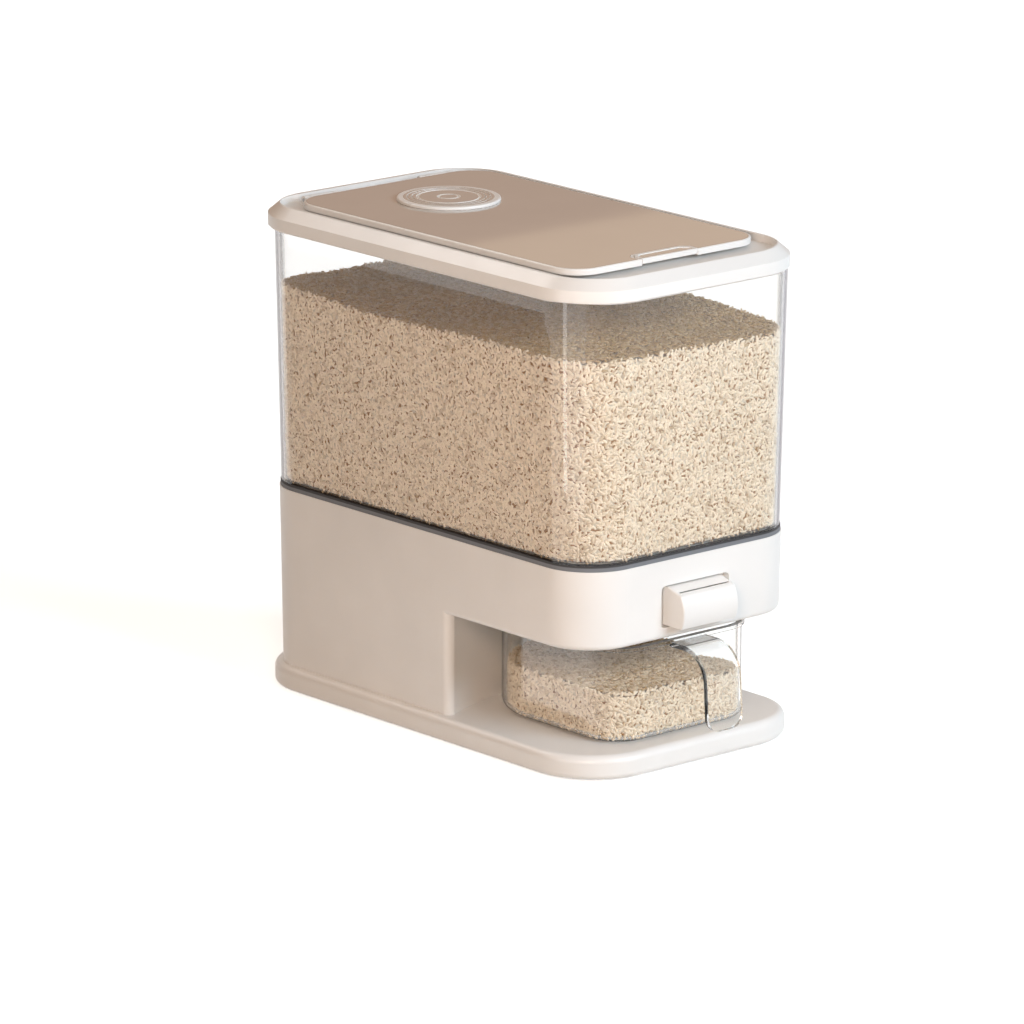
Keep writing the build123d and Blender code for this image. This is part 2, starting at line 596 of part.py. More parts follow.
# The push button: a hollow cap with a bulged face, held behind the recess by its flange
with BuildPart() as push_button:
    with BuildSketch(facing_side(0)):
        with BuildLine():
            low = (BUTTON_FRONT + BUTTON_LOW_ROUND, BUTTON_Z)
            brow = (BUTTON_FRONT + BUTTON_BROW, BUTTON_Z + BUTTON_H - BUTTON_BROW)
            Line((BUTTON_BACK, BUTTON_Z), low)
            ThreePointArc(low, (BUTTON_FRONT, BUTTON_MID_Z - BUTTON_LOW_ROUND / 2), brow)
            Polyline(brow, (FACE_Y, BUTTON_Z + BUTTON_H), (BUTTON_BACK, BUTTON_Z + BUTTON_H),
                     (BUTTON_BACK, BUTTON_Z))
        make_face()
    extrude(amount=BUTTON_W / 2, both=True)
    cap_edges = push_button.edges().filter_by(
        lambda e: e.center().Y < BODY_Y + FACE_Y - BUTTON_WALL and abs(e.center().X) < 1
        and e.center().Z > BUTTON_MID_Z)
    fillet(cap_edges, BUTTON_BROW_ROUND)
    end_edges = push_button.edges().filter_by(
        lambda e: e.center().Y < BODY_Y + FACE_Y - BUTTON_REACH * 2 / 3
        and abs(e.center().X) > BUTTON_W / 2 - 0.1)
    fillet(end_edges, BUTTON_END_ROUND)
    with BuildSketch(facing_front(BUTTON_BACK)):
        with Locations((0, BUTTON_MID_Z)):
            Rectangle(BUTTON_W - 2 * BUTTON_WALL, BUTTON_H - 2 * BUTTON_WALL)
    extrude(amount=BUTTON_BACK - BUTTON_FRONT - BUTTON_WALL - BUTTON_FACE_T, mode=Mode.SUBTRACT)
    with BuildSketch(facing_front(POCKET_Y + BUTTON_WALL + SLIDE)):
        with Locations((0, BUTTON_MID_Z)):
            Rectangle(BUTTON_W + 2 * BUTTON_WALL, BUTTON_H)
            Rectangle(BUTTON_W - BUTTON_WALL / 2, BUTTON_H - BUTTON_WALL / 2, mode=Mode.SUBTRACT)
    extrude(amount=-(BUTTON_BACK - POCKET_Y - BUTTON_WALL - SLIDE))
push_button.part.label = "push_button"
export_step(push_button.part, "parts/push_button.step")

# Two return springs on rods, from the shutter's lugs to the guide's posts
SPRING_PITCH = (SPRING_L - 2 * SPRING_WIRE) / SPRING_TURNS
for side_name, side in (("left", -1), ("right", 1)):
    with BuildPart() as return_spring:
        coil_start = Vector(side * SPRING_X, BODY_Y + SPRING_Y0 + SPRING_WIRE, SPRING_Z)
        with BuildLine():
            coil = Helix(SPRING_PITCH, SPRING_L - 2 * SPRING_WIRE, SPRING_R - SPRING_WIRE / 2,
                         center=coil_start, direction=(0, 1, 0))
        with BuildSketch(Plane(coil @ 0, z_dir=coil % 0)):
            RegularPolygon(SPRING_WIRE / 2, 6)
        sweep()
    return_spring.part.label = f"return_spring_{side_name}"
    export_step(return_spring.part, f"parts/return_spring_{side_name}.step")
    with BuildPart() as spring_rod:
        with BuildSketch(facing_front(POST_Y + LUG_T)):
            with Locations((side * SPRING_X, SPRING_Z)):
                Circle(ROD_R)
        extrude(amount=POST_Y + LUG_T - LUG_Y)
    spring_rod.part.label = f"spring_rod_{side_name}"
    export_step(spring_rod.part, f"parts/spring_rod_{side_name}.step")

# The grey gasket between the housing and the bin
with BuildPart() as bin_gasket:
    with BuildSketch(level(HOUSING_TOP)):
        housing_outline(HOUSING_TOP, BIN_INSET - SEAT)
    extrude(amount=GASKET_T)
    with BuildSketch(level(HOUSING_TOP)):
        housing_outline(HOUSING_TOP, HOPPER_IN - SLIDE)
    extrude(amount=GASKET_T, mode=Mode.SUBTRACT)
bin_gasket.part.label = "bin_gasket"
export_step(bin_gasket.part, "parts/bin_gasket.step")

# The clear bin: drafted tube with an inward foot
with BuildPart() as clear_bin:
    with BuildSketch(level(BIN_Z)):
        bin_outline(BIN_Z)
    extrude(amount=RIM_TOP_OF_BIN - BIN_Z, taper=-BIN_DRAFT)
    with BuildSketch(level(BIN_Z + BIN_FOOT_T)):
        bin_outline(BIN_Z + BIN_FOOT_T, BIN_WALL)
    extrude(amount=RIM_TOP_OF_BIN - BIN_Z - BIN_FOOT_T, taper=-BIN_DRAFT, mode=Mode.SUBTRACT)
    with BuildSketch(level(BIN_Z)):
        housing_outline(HOUSING_TOP, HOPPER_IN - SLIDE)
    extrude(amount=BIN_FOOT_T, mode=Mode.SUBTRACT)
clear_bin.part.label = "clear_bin"
export_step(clear_bin.part, "parts/clear_bin.step")

BIN_TOP_HALF = HOUSING_W / 2 - BIN_INSET + drafted(RIM_TOP_OF_BIN - BIN_Z, BIN_DRAFT)
BIN_TOP_LONG = HOUSING_L / 2 - BIN_INSET + drafted(RIM_TOP_OF_BIN - BIN_Z, BIN_DRAFT)
BIN_TOP_R = HOUSING_R - BIN_INSET + drafted(RIM_TOP_OF_BIN - BIN_Z, BIN_DRAFT)
PLUG_CUT = BIN_WALL + SEAL_T + SLIDE
UNDER_FLOOR = FLOOR_Z - LID_FLOOR
HINGE_Z = FLAP_TOP - HINGE_DROP

# The lid: skirt over the bin's rim, sloping brow, sunk floor with a mouth and its collar
with BuildPart() as lid_frame:
    with BuildSketch(level(LID_Z, 0, LID_BACK)):
        RectangleRounded(LID_W, LID_L, LID_R)
    extrude(amount=LID_SKIRT)
    chamfer(lid_frame.faces().sort_by(Axis.Z)[0].edges(), LID_LOW_EDGE)
    with BuildSketch(level(CREASE_Z, 0, LID_BACK)):
        RectangleRounded(LID_W, LID_L, LID_R)
    with BuildSketch(level(RIM_Z, 0, LID_BACK)):
        RectangleRounded(LID_W - 2 * LID_BROW_IN, LID_L - 2 * LID_BROW_IN, LID_R - LID_BROW_IN)
    loft(ruled=True)
    fillet(lid_frame.faces().sort_by(Axis.Z)[-1].edges(), LID_RIM_ROUND)
    with BuildSketch(level(LID_Z)):
        RectangleRounded(2 * (BIN_TOP_HALF + SLIDE), 2 * (BIN_TOP_LONG + SLIDE), BIN_TOP_R + SLIDE)
    extrude(amount=UNDER_FLOOR - LID_Z, mode=Mode.SUBTRACT)
    with BuildSketch(level(UNDER_FLOOR)):
        RectangleRounded(2 * (BIN_TOP_HALF - PLUG_CUT), 2 * (BIN_TOP_LONG - PLUG_CUT), BIN_TOP_R - PLUG_CUT)
        RectangleRounded(2 * (BIN_TOP_HALF - PLUG_CUT - PLUG_T), 2 * (BIN_TOP_LONG - PLUG_CUT - PLUG_T),
                         BIN_TOP_R - PLUG_CUT - PLUG_T, mode=Mode.SUBTRACT)
    extrude(amount=-PLUG_H)
    with BuildSketch(level(FLOOR_Z)):
        uneven_round(RIM_W / 2, RIM_FRONT, RIM_REAR, RIM_R, RIM_R)
    extrude(amount=RIM_DEPTH + LID_RIM_ROUND, mode=Mode.SUBTRACT)
    with BuildSketch(level(FLOOR_Z, 0, MOUTH_BACK)):
        RectangleRounded(MOUTH_W + 2 * COLLAR_T, MOUTH_L + 2 * COLLAR_T, MOUTH_R + COLLAR_T)
    extrude(amount=COLLAR_H)
    with BuildSketch(level(UNDER_FLOOR, 0, MOUTH_BACK)):
        RectangleRounded(MOUTH_W, MOUTH_L, MOUTH_R)
    extrude(amount=LID_FLOOR + COLLAR_H, mode=Mode.SUBTRACT)
    for side in (-1, 1):
        for end in (-1, 1):
            lug_x = side * KNUCKLE_X + end * (KNUCKLE_L / 2 + SLIDE + LUG_W / 2)
            with BuildSketch(facing_side(lug_x)):
                with Locations((HINGE_Y, HINGE_Z)):
                    Circle(KNUCKLE_R)
                with Locations((HINGE_Y, (HINGE_Z + FLOOR_Z) / 2)):
                    Rectangle(2 * KNUCKLE_R, HINGE_Z - FLOOR_Z)
                with Locations((HINGE_Y, HINGE_Z)):
                    Circle(HINGE_PIN_R + RUNNING / 2, mode=Mode.SUBTRACT)
            extrude(amount=LUG_W / 2, both=True)
lid_frame.part.label = "lid_frame"
export_step(lid_frame.part, "parts/lid_frame.step")

# The silicone seal round the lid's plug
with BuildPart() as lid_seal:
    with BuildSketch(level(UNDER_FLOOR - PLUG_H)):
        RectangleRounded(2 * (BIN_TOP_HALF - BIN_WALL - SLIDE), 2 * (BIN_TOP_LONG - BIN_WALL - SLIDE),
                         BIN_TOP_R - BIN_WALL - SLIDE)
        RectangleRounded(2 * (BIN_TOP_HALF - PLUG_CUT), 2 * (BIN_TOP_LONG - PLUG_CUT), BIN_TOP_R - PLUG_CUT,
                         mode=Mode.SUBTRACT)
    extrude(amount=PLUG_H / 2)
lid_seal.part.label = "lid_seal"
export_step(lid_seal.part, "parts/lid_seal.step")

# Two steel hinge pins
for side_name, side in (("left", -1), ("right", 1)):
    with BuildPart() as hinge_pin:
        with BuildSketch(facing_side(side * KNUCKLE_X)):
            with Locations((HINGE_Y, HINGE_Z)):
                Circle(HINGE_PIN_R)
        extrude(amount=KNUCKLE_L / 2 + SLIDE + LUG_W, both=True)
    hinge_pin.part.label = f"hinge_pin_{side_name}"
    export_step(hinge_pin.part, f"parts/hinge_pin_{side_name}.step")

FLAP_UNDER = FLAP_TOP - FLAP_T
TAB_Y = -FLAP_FRONT + TAB_L / 2
HUB_HOLE = DIAL_HUB_R + SLIDE


def tab_outline(grow=0.0, y=0.0, mode=Mode.ADD):
    """The press tab's plan, a bar with its rear corners cut off."""
    w, front, rear, cut = TAB_W / 2 + grow, y - TAB_L / 2 - grow, y + TAB_L / 2 + grow, TAB_CUT
    with BuildLine() as outline:
        Polyline((-w, rear - cut), (-w, front), (w, front), (w, rear - cut))
        Polyline((w, rear - cut), (w - cut, rear), (-w + cut, rear), (-w, rear - cut))
    make_face(outline.edges(), mode=mode)


def panel_plan(clear=0.0):
    """The inlaid panel's plan, clear of the press tab and the twist cap's hub."""
    uneven_round(FLAP_W / 2, FLAP_FRONT, FLAP_REAR, FLAP_R, FLAP_REAR_R, PANEL_IN + clear)
    tab_outline(SLIDE + PANEL_IN + clear, TAB_Y, Mode.SUBTRACT)
    with Locations((0, DIAL_Y)):
        Circle(HUB_HOLE + PANEL_IN + clear, mode=Mode.SUBTRACT)


# The flap: plate with a turned-down edge, knuckles at the rear, a notch, a hub hole and the panel's recess
with BuildPart() as lid_flap:
    with BuildSketch(level(FLAP_TOP - FLAP_EDGE)):
        uneven_round(FLAP_W / 2, FLAP_FRONT, FLAP_REAR, FLAP_R, FLAP_REAR_R)
    extrude(amount=FLAP_EDGE)
    fillet(lid_flap.faces().sort_by(Axis.Z)[-1].edges(), FLAP_ROUND)
    with BuildSketch(level(FLAP_TOP - FLAP_EDGE)):
        uneven_round(FLAP_W / 2, FLAP_FRONT, FLAP_REAR, FLAP_R, FLAP_REAR_R, FLAP_SKIRT_T)
    extrude(amount=FLAP_EDGE - FLAP_T, mode=Mode.SUBTRACT)
    for side in (-1, 1):
        with BuildSketch(facing_side(side * KNUCKLE_X)):
            with Locations((HINGE_Y, HINGE_Z)):
                Circle(KNUCKLE_R)
            with Locations(((HINGE_Y + FLAP_REAR - FLAP_SKIRT_T) / 2, HINGE_Z)):
                Rectangle(HINGE_Y - FLAP_REAR + FLAP_SKIRT_T, KNUCKLE_R)
            with Locations((HINGE_Y, HINGE_Z)):
                Circle(HINGE_PIN_R + RUNNING, mode=Mode.SUBTRACT)
        extrude(amount=KNUCKLE_L / 2, both=True)
    with BuildSketch(level(FLAP_TOP - FLAP_EDGE, 0, TAB_Y)):
        tab_outline(SLIDE)
        with Locations((0, -TAB_L / 2)):
            Rectangle(TAB_W + 2 * SLIDE, FLAP_SKIRT_T)
    extrude(amount=FLAP_EDGE + SLIDE, mode=Mode.SUBTRACT)
    with BuildSketch(level(FLAP_TOP - PANEL_T)):
        panel_plan()
    extrude(amount=PANEL_T, mode=Mode.SUBTRACT)
    with BuildSketch(level(FLAP_UNDER, 0, DIAL_Y)):
        Circle(HUB_HOLE)
        with PolarLocations(HUB_HOLE, BAYONET_COUNT):
            Rectangle(2 * (BAYONET_REACH + SLIDE), BAYONET_W + BAYONET_ROOM)
    extrude(amount=FLAP_T, mode=Mode.SUBTRACT)
lid_flap.part.label = "lid_flap"
export_step(lid_flap.part, "parts/lid_flap.step")

# The glossy panel let into the flap
with BuildPart() as flap_panel:
    with BuildSketch(level(FLAP_TOP - PANEL_T)):
        panel_plan(SEAT / 3)
    extrude(amount=PANEL_T)
flap_panel.part.label = "flap_panel"
export_step(flap_panel.part, "parts/flap_panel.step")

# The flap's seal, outside the mouth's collar
with BuildPart() as flap_seal:
    seal_in = COLLAR_T + SLIDE
    seal_out = seal_in + SEAL_T
    with BuildSketch(level(FLAP_UNDER, 0, MOUTH_BACK)):
        RectangleRounded(MOUTH_W + 2 * seal_out, MOUTH_L + 2 * seal_out, MOUTH_R + seal_out)
        RectangleRounded(MOUTH_W + 2 * seal_in, MOUTH_L + 2 * seal_in, MOUTH_R + seal_in, mode=Mode.SUBTRACT)
    extrude(amount=-(FLAP_UNDER - FLOOR_Z - 2 * SLIDE))
flap_seal.part.label = "flap_seal"
export_step(flap_seal.part, "parts/flap_seal.step")

# The press tab at the flap's front edge
with BuildPart() as press_tab:
    with BuildSketch(level(FLAP_UNDER, 0, TAB_Y)):
        tab_outline()
    extrude(amount=FLAP_T + TAB_PROUD)
    with BuildSketch(level(FLAP_UNDER, 0, TAB_Y)):
        tab_outline()
    extrude(amount=-SLIDE)
    with BuildSketch(level(FLAP_UNDER - SLIDE, 0, TAB_Y + (TAB_FLANGE + FLAP_SKIRT_T + SLIDE) / 2)):
        Rectangle(TAB_W + 2 * TAB_FLANGE, TAB_L + TAB_FLANGE - FLAP_SKIRT_T - SLIDE)
    extrude(amount=-TAB_FLANGE_T)
    with BuildSketch(level(FLAP_TOP + TAB_PROUD, 0, TAB_Y)):
        tab_outline(-TAB_BORDER)
    extrude(amount=-TAB_DISH, mode=Mode.SUBTRACT)
    rim_edges = press_tab.edges().filter_by(
        lambda e: abs(e.center().Z - FLAP_TOP - TAB_PROUD) < 0.01
        and abs(e.center().Y - BODY_Y - TAB_Y) > TAB_L / 2 - TAB_DISH)
    fillet(rim_edges, TAB_ROUND)
press_tab.part.label = "press_tab"
export_step(press_tab.part, "parts/press_tab.step")

HUB_Z = FLAP_UNDER - DIAL_HUB_DROP
CAP_UNDER = FLAP_TOP + SLIDE / 3
HUB_SIDE = DIAL_Y + DIAL_HUB_R
CAP_SIDE = DIAL_Y + DIAL_D / 2
GROOVES = [(DIAL_Y + DIAL_GROOVE_IN + n * DIAL_GROOVE_PITCH, DIAL_TOP) for n in range(DIAL_GROOVES)]

# The twist cap, with ring grooves and bayonet lugs under the flap
with BuildPart() as dial_cap:
    with BuildSketch(facing_side(0)):
        with BuildLine():
            edge_low = (CAP_SIDE, DIAL_TOP - DIAL_ROUND)
            edge_top = (CAP_SIDE - DIAL_ROUND, DIAL_TOP)
            Polyline((DIAL_Y, HUB_Z), (HUB_SIDE, HUB_Z), (HUB_SIDE, CAP_UNDER), (CAP_SIDE, CAP_UNDER),
                     edge_low)
            RadiusArc(edge_low, edge_top, -DIAL_ROUND)
            Polyline(edge_top, (DIAL_Y, DIAL_TOP), (DIAL_Y, HUB_Z))
        make_face()
        with Locations(*GROOVES):
            Circle(DIAL_GROOVE_R, mode=Mode.SUBTRACT)
    revolve(axis=Axis((0, BODY_Y + DIAL_Y, 0), (0, 0, 1)))
    with BuildSketch(level(FLAP_UNDER - SLIDE / 2, 0, DIAL_Y)):
        with PolarLocations(DIAL_HUB_R, BAYONET_COUNT, start_angle=60):
            Rectangle(2 * BAYONET_REACH, BAYONET_W)
    extrude(amount=-BAYONET_T)
    with BuildSketch(level(DIAL_TOP, 0, DIAL_Y)):
        Circle(DIAL_RING_R)
        Circle(DIAL_RING_R - DIAL_RING_W, mode=Mode.SUBTRACT)
    extrude(amount=-DIAL_RING_DEPTH, mode=Mode.SUBTRACT)
    with BuildSketch(level(HUB_Z, 0, DIAL_Y)):
        Circle(BOX_R + SLIDE / 3)
    extrude(amount=DIAL_HUB_DROP + FLAP_T - DIAL_SKIN, mode=Mode.SUBTRACT)
dial_cap.part.label = "dial_cap"
export_step(dial_cap.part, "parts/dial_cap.step")

BOX_TOP = HUB_Z - SLIDE

# The moisture box hung in the cap, with slots in its floor
with BuildPart() as moisture_box:
    with BuildSketch(level(BOX_TOP - BOX_H, 0, DIAL_Y)):
        Circle(BOX_R)
    extrude(amount=BOX_H + DIAL_HUB_DROP + SLIDE)
    with BuildSketch(level(BOX_TOP - BOX_H + BOX_WALL, 0, DIAL_Y)):
        Circle(BOX_R - BOX_WALL)
    extrude(amount=BOX_H + DIAL_HUB_DROP + SLIDE, mode=Mode.SUBTRACT)
    with BuildSketch(level(BOX_TOP - BOX_H, 0, DIAL_Y)):
        with PolarLocations(BOX_SLOT_RING, BOX_SLOTS):
            SlotOverall(BOX_SLOT_L, BOX_SLOT_W)
    extrude(amount=BOX_WALL, mode=Mode.SUBTRACT)
moisture_box.part.label = "moisture_box"
export_step(moisture_box.part, "parts/moisture_box.step")

STRAP_TOP = CUP_TOP - CUP_LIP_T / 2
STRAP_OUT = -(CUP_FRONT + STRAP_REACH)
STRAP_END_Z = CUP_TOP - STRAP_H

# The inside of the cup
with BuildPart() as cup_inside:
    with BuildSketch(level(PLATE_TOP + SEAT + CUP_WALL)):
        uneven_round(CUP_HALF_W, CUP_FRONT, -CUP_REAR, CUP_FRONT_R, CUP_REAR_R, CUP_WALL)
    extrude(amount=CUP_H)
    fillet(cup_inside.faces().sort_by(Axis.Z)[0].edges(), CUP_ROUND - CUP_WALL)

# The clear measuring cup with its rounded floor edge, lip and hanging strap handle
with BuildPart() as measuring_cup:
    with BuildSketch(level(PLATE_TOP + SEAT)):
        uneven_round(CUP_HALF_W, CUP_FRONT, -CUP_REAR, CUP_FRONT_R, CUP_REAR_R)
    extrude(amount=CUP_H)
    fillet(measuring_cup.faces().sort_by(Axis.Z)[0].edges(), CUP_ROUND)
    with BuildSketch(level(CUP_TOP - CUP_LIP_T)):
        uneven_round(CUP_HALF_W, CUP_FRONT, -CUP_REAR, CUP_FRONT_R, CUP_REAR_R, -CUP_LIP)
    extrude(amount=CUP_LIP_T)
    add(cup_inside.part, mode=Mode.SUBTRACT)
    with BuildSketch(facing_side(0)):
        with BuildLine():
            root_high = (-CUP_FRONT + CUP_WALL / 2, STRAP_TOP)
            root_low = (-CUP_FRONT + CUP_WALL / 2, STRAP_TOP - STRAP_T)
            tip_out = (STRAP_OUT - STRAP_LEAN, STRAP_END_Z)
            tip_in = (STRAP_OUT - STRAP_LEAN + STRAP_T, STRAP_END_Z)
            FilletPolyline(root_high, (STRAP_OUT, STRAP_TOP), tip_out, radius=STRAP_BEND)
            Line(tip_out, tip_in)
            FilletPolyline(tip_in, (STRAP_OUT + STRAP_T, STRAP_TOP - STRAP_T), root_low,
                           radius=STRAP_BEND - STRAP_T)
            Line(root_low, root_high)
        make_face()
    extrude(amount=STRAP_W / 2, both=True)
    tip_edges = measuring_cup.edges().filter_by(
        lambda e: e.center().Z < STRAP_END_Z + 0.1 and abs(e.center().X) > STRAP_W / 2 - 0.1
        and e.center().Y < BODY_Y + STRAP_OUT + STRAP_T)
    fillet(tip_edges, STRAP_END_R)
measuring_cup.part.label = "measuring_cup"
export_step(measuring_cup.part, "parts/measuring_cup.step")
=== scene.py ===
"""Rice dispenser: finishes for the solids, the rice in the bin and in the cup, and the studio round them."""
import math
from typing import Callable, NamedTuple

import bpy
import numpy as np
from mathutils import Matrix, Vector


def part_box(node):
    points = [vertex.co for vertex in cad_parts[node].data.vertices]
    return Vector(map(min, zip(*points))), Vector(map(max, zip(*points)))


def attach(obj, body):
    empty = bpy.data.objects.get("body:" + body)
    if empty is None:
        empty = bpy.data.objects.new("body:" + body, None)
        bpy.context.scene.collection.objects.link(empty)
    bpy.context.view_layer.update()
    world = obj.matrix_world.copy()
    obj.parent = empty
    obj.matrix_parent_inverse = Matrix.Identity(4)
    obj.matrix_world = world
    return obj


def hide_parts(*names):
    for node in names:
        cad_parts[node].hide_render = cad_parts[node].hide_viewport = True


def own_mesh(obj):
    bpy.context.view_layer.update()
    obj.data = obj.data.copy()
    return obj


bl_info = {
    "name": "Rice Dispenser",
    "version": (1, 0, 0),
    "blender": (4, 5, 0),
    "location": "3D Viewport > Sidebar > Dispenser",
    "description": "Finishes, rice and studio for a countertop rice dispenser",
    "category": "Object",
}

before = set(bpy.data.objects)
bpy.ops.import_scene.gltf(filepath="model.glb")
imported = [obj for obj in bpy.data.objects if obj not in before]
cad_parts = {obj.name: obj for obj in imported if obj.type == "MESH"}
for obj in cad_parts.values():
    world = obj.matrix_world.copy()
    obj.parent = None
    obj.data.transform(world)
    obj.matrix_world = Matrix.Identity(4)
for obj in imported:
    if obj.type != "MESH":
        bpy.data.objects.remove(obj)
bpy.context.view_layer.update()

MM = 0.001
BIN_CORNER_REACH = 33.0 * MM


# Colours and settings

def linear(code):
    """An sRGB hex colour as linear RGBA."""
    parts = [int(code[i:i + 2], 16) / 255 for i in (1, 3, 5)]
    return [p / 12.92 if p <= 0.04045 else ((p + 0.055) / 1.055) ** 2.4 for p in parts] + [1.0]


def toned(colour, factor):
    """A colour made lighter or darker."""
    return [min(1.0, c * factor) for c in colour[:3]] + [1.0]


def colour_property(name, code, description):
    """A colour swatch for the panel."""
    return bpy.props.FloatVectorProperty(name=name, description=description, subtype="COLOR", size=4,
                                         min=0, max=1, default=linear(code))


def length_property(name, millimetres, description):
    """A length for the panel, given in millimetres and kept in metres."""
    return bpy.props.FloatProperty(name=name, description=description, subtype="DISTANCE", unit="LENGTH",
                                   min=0, default=millimetres * MM)


def angle_property(name, degrees, description):
    """An angle for the panel, given in degrees and kept in radians."""
    return bpy.props.FloatProperty(name=name, description=description, subtype="ANGLE",
                                   default=math.radians(degrees))


class DispenserFinish(bpy.types.PropertyGroup):
    """Colours of the dispenser's pieces."""

    shell: colour_property("Shell", "#F1EEEA", "White ABS of the plate, housing, button and lid")
    flap: colour_property("Flap panel", "#BFB5AA", "High-gloss greige panel let into the flap")
    clear: colour_property("Clear plastic", "#FBFCFC", "Tint of the clear SAN bin and cup")
    # The edge grey is partly the longer way through the plastic and partly painted dark reflection
    edge: colour_property("Clear plastic, edge on", "#6A6771", "Tint of clear SAN seen along the wall")
    gasket: colour_property("Gasket", "#7A7C80", "Grey elastomer between housing and bin")
    # Painted shade: the dark band along the gasket's top stands for the shade where the bin meets it
    gasket_lip_shade: colour_property("Gasket lip", "#3C3B3C", "Darker lip along the gasket's top")
    seal: colour_property("Seals", "#DDDDDA", "Milky silicone under the lid and the flap")
    foot: colour_property("Feet", "#54514F", "Rubber of the four feet")
    works: colour_property("Inner works", "#E4E0DA", "Natural PP of hopper, guide and moisture box")
    slide: colour_property("Slide", "#D6D5D1", "Acetal of the shutter")
    steel: colour_property("Steel", "#B9B9BA", "Zinc-plated screws, pins, rods and springs")


class DispenserRice(bpy.types.PropertyGroup):
    """Sizes and colours of the rice."""

    grain_length: length_property("Grain length", 4.3, "Length of one grain")
    grain_width: length_property("Grain width", 1.9, "Width of one grain")
    bin_level: length_property("Level in the bin", 232.0, "Height of the rice above the table")
    cup_level: length_property("Level in the cup", 43.5, "Height of the rice in the cup above the table")
    pale: colour_property("Pale grains", "#FFEDD4", "Most of the grains")
    dark: colour_property("Dark grains", "#B08C58", "The darkest grains")
    gap: colour_property("Between grains", "#96672B", "Bran and shade in the deepest gaps")
    seed: bpy.props.IntProperty(name="Seed", description="Changes how the grains fall", default=7, min=0)


class DispenserStudio(bpy.types.PropertyGroup):
    """Camera and light."""

    azimuth: angle_property("Azimuth", -41.048, "Camera's turn from the front")
    elevation: angle_property("Elevation", 14.598, "Camera's height angle")
    roll: angle_property("Roll", 0.159, "Camera's tilt")
    distance: length_property("Distance", 3992.7, "Camera to target")
    lens: bpy.props.FloatProperty(name="Lens", description="Focal length on a 36 mm sensor",
                                  subtype="DISTANCE_CAMERA", default=254.29)
    key_power: bpy.props.FloatProperty(name="Key light", description="Power of the large softbox in front",
                                       unit="POWER", default=46.0)
    key_tint: colour_property("Key tint", "#D6EDFF", "Daylight of the large softbox")
    fill_power: bpy.props.FloatProperty(name="Fill light", unit="POWER", default=4.4,
                                        description="Power of the near lamp at the front left")
    fill_tint: colour_property("Fill tint", "#FFE6D3", "Colour of the near lamp at the front left")
    ambient: bpy.props.FloatProperty(name="Ambient", default=0.12,
                                     description="Strength of the soft light from the horizon")
    ambient_above: bpy.props.FloatProperty(name="Ambient above", default=0.42,
                                           description="Strength of the soft light from above")
    ambient_tint: colour_property("Ambient tint", "#FFE4CC", "Warm bounce of the room")
    background: colour_property("Background", "#FFFFFF", "Backdrop that the camera and reflections see")
    paper: colour_property("Paper", "#EDEBE8", "Seamless paper that the dispenser stands on")
    card_low: colour_property("Card, low part", "#CDAD98", "Lower part of the card that the lid reflects")
    card_high: colour_property("Card, high part", "#F0D0B4", "Upper part of the card that the lid reflects")
    card_side: colour_property("Card, left side", "#6B5340", "Card that the bin's left wall reflects")


# Materials

# Noise hardly ever leaves this range, so it is stretched from here
NOISE_LOW, NOISE_HIGH = 0.3, 0.7
# Sockets of a colour mix: its two colours, and the result
MIX_A, MIX_B, MIX_OUT = 6, 7, 2
ABS_IOR, SAN_IOR, RICE_IOR = 1.53, 1.57, 1.45
COAT_ROUGHNESS = 0.04
SHEEN_DRIFT = 0.12
FINE_RELIEF = 0.35
# Name of each grain's tone: its own random tone, plus painted shade on the top grains
GRAIN_TONE_AND_SHADE = "grain_tone_and_shade"


def new_material(name):
    """An empty node material."""
    material = bpy.data.materials.new(name)
    material.use_nodes = True
    material.node_tree.nodes.clear()
    return material, material.node_tree


def add_node(tree, kind, settings=None, values=None, links=None):
    """Adds a node, sets its properties and socket values, and links outputs into its sockets."""
    node = tree.nodes.new(kind)
    for key, value in (settings or {}).items():
        setattr(node, key, value)
    for key, value in (values or {}).items():
        node.inputs[key].default_value = value
    for key, output in (links or {}).items():
        tree.links.new(output, node.inputs[key])
    return node


def uneven(tree, size_mm, low, high, detail=2.0):
    """A value that drifts from low to high over the surface, in patches about size_mm across."""
    place = add_node(tree, "ShaderNodeTexCoord")
    patches = add_node(tree, "ShaderNodeTexNoise", values={"Scale": 1 / (size_mm * MM), "Detail": detail},
                       links={"Vector": place.outputs["Object"]})
    return add_node(tree, "ShaderNodeMapRange",
                    values={"From Min": NOISE_LOW, "From Max": NOISE_HIGH, "To Min": low, "To Max": high},
                    links={"Value": patches.outputs["Fac"]}).outputs["Result"]


def relief(tree, size_mm, depth_mm, strength, detail=2.0, under=None):
    """Bumps about size_mm across and depth_mm deep, on top of another relief where one is given."""
    place = add_node(tree, "ShaderNodeTexCoord")
    grains = add_node(tree, "ShaderNodeTexNoise", values={"Scale": 1 / (size_mm * MM), "Detail": detail},
                      links={"Vector": place.outputs["Object"]})
    links = {"Height": grains.outputs["Fac"]}
    if under is not None:
        links["Normal"] = under
    return add_node(tree, "ShaderNodeBump", values={"Strength": strength, "Distance": depth_mm * MM},
                    links=links).outputs["Normal"]


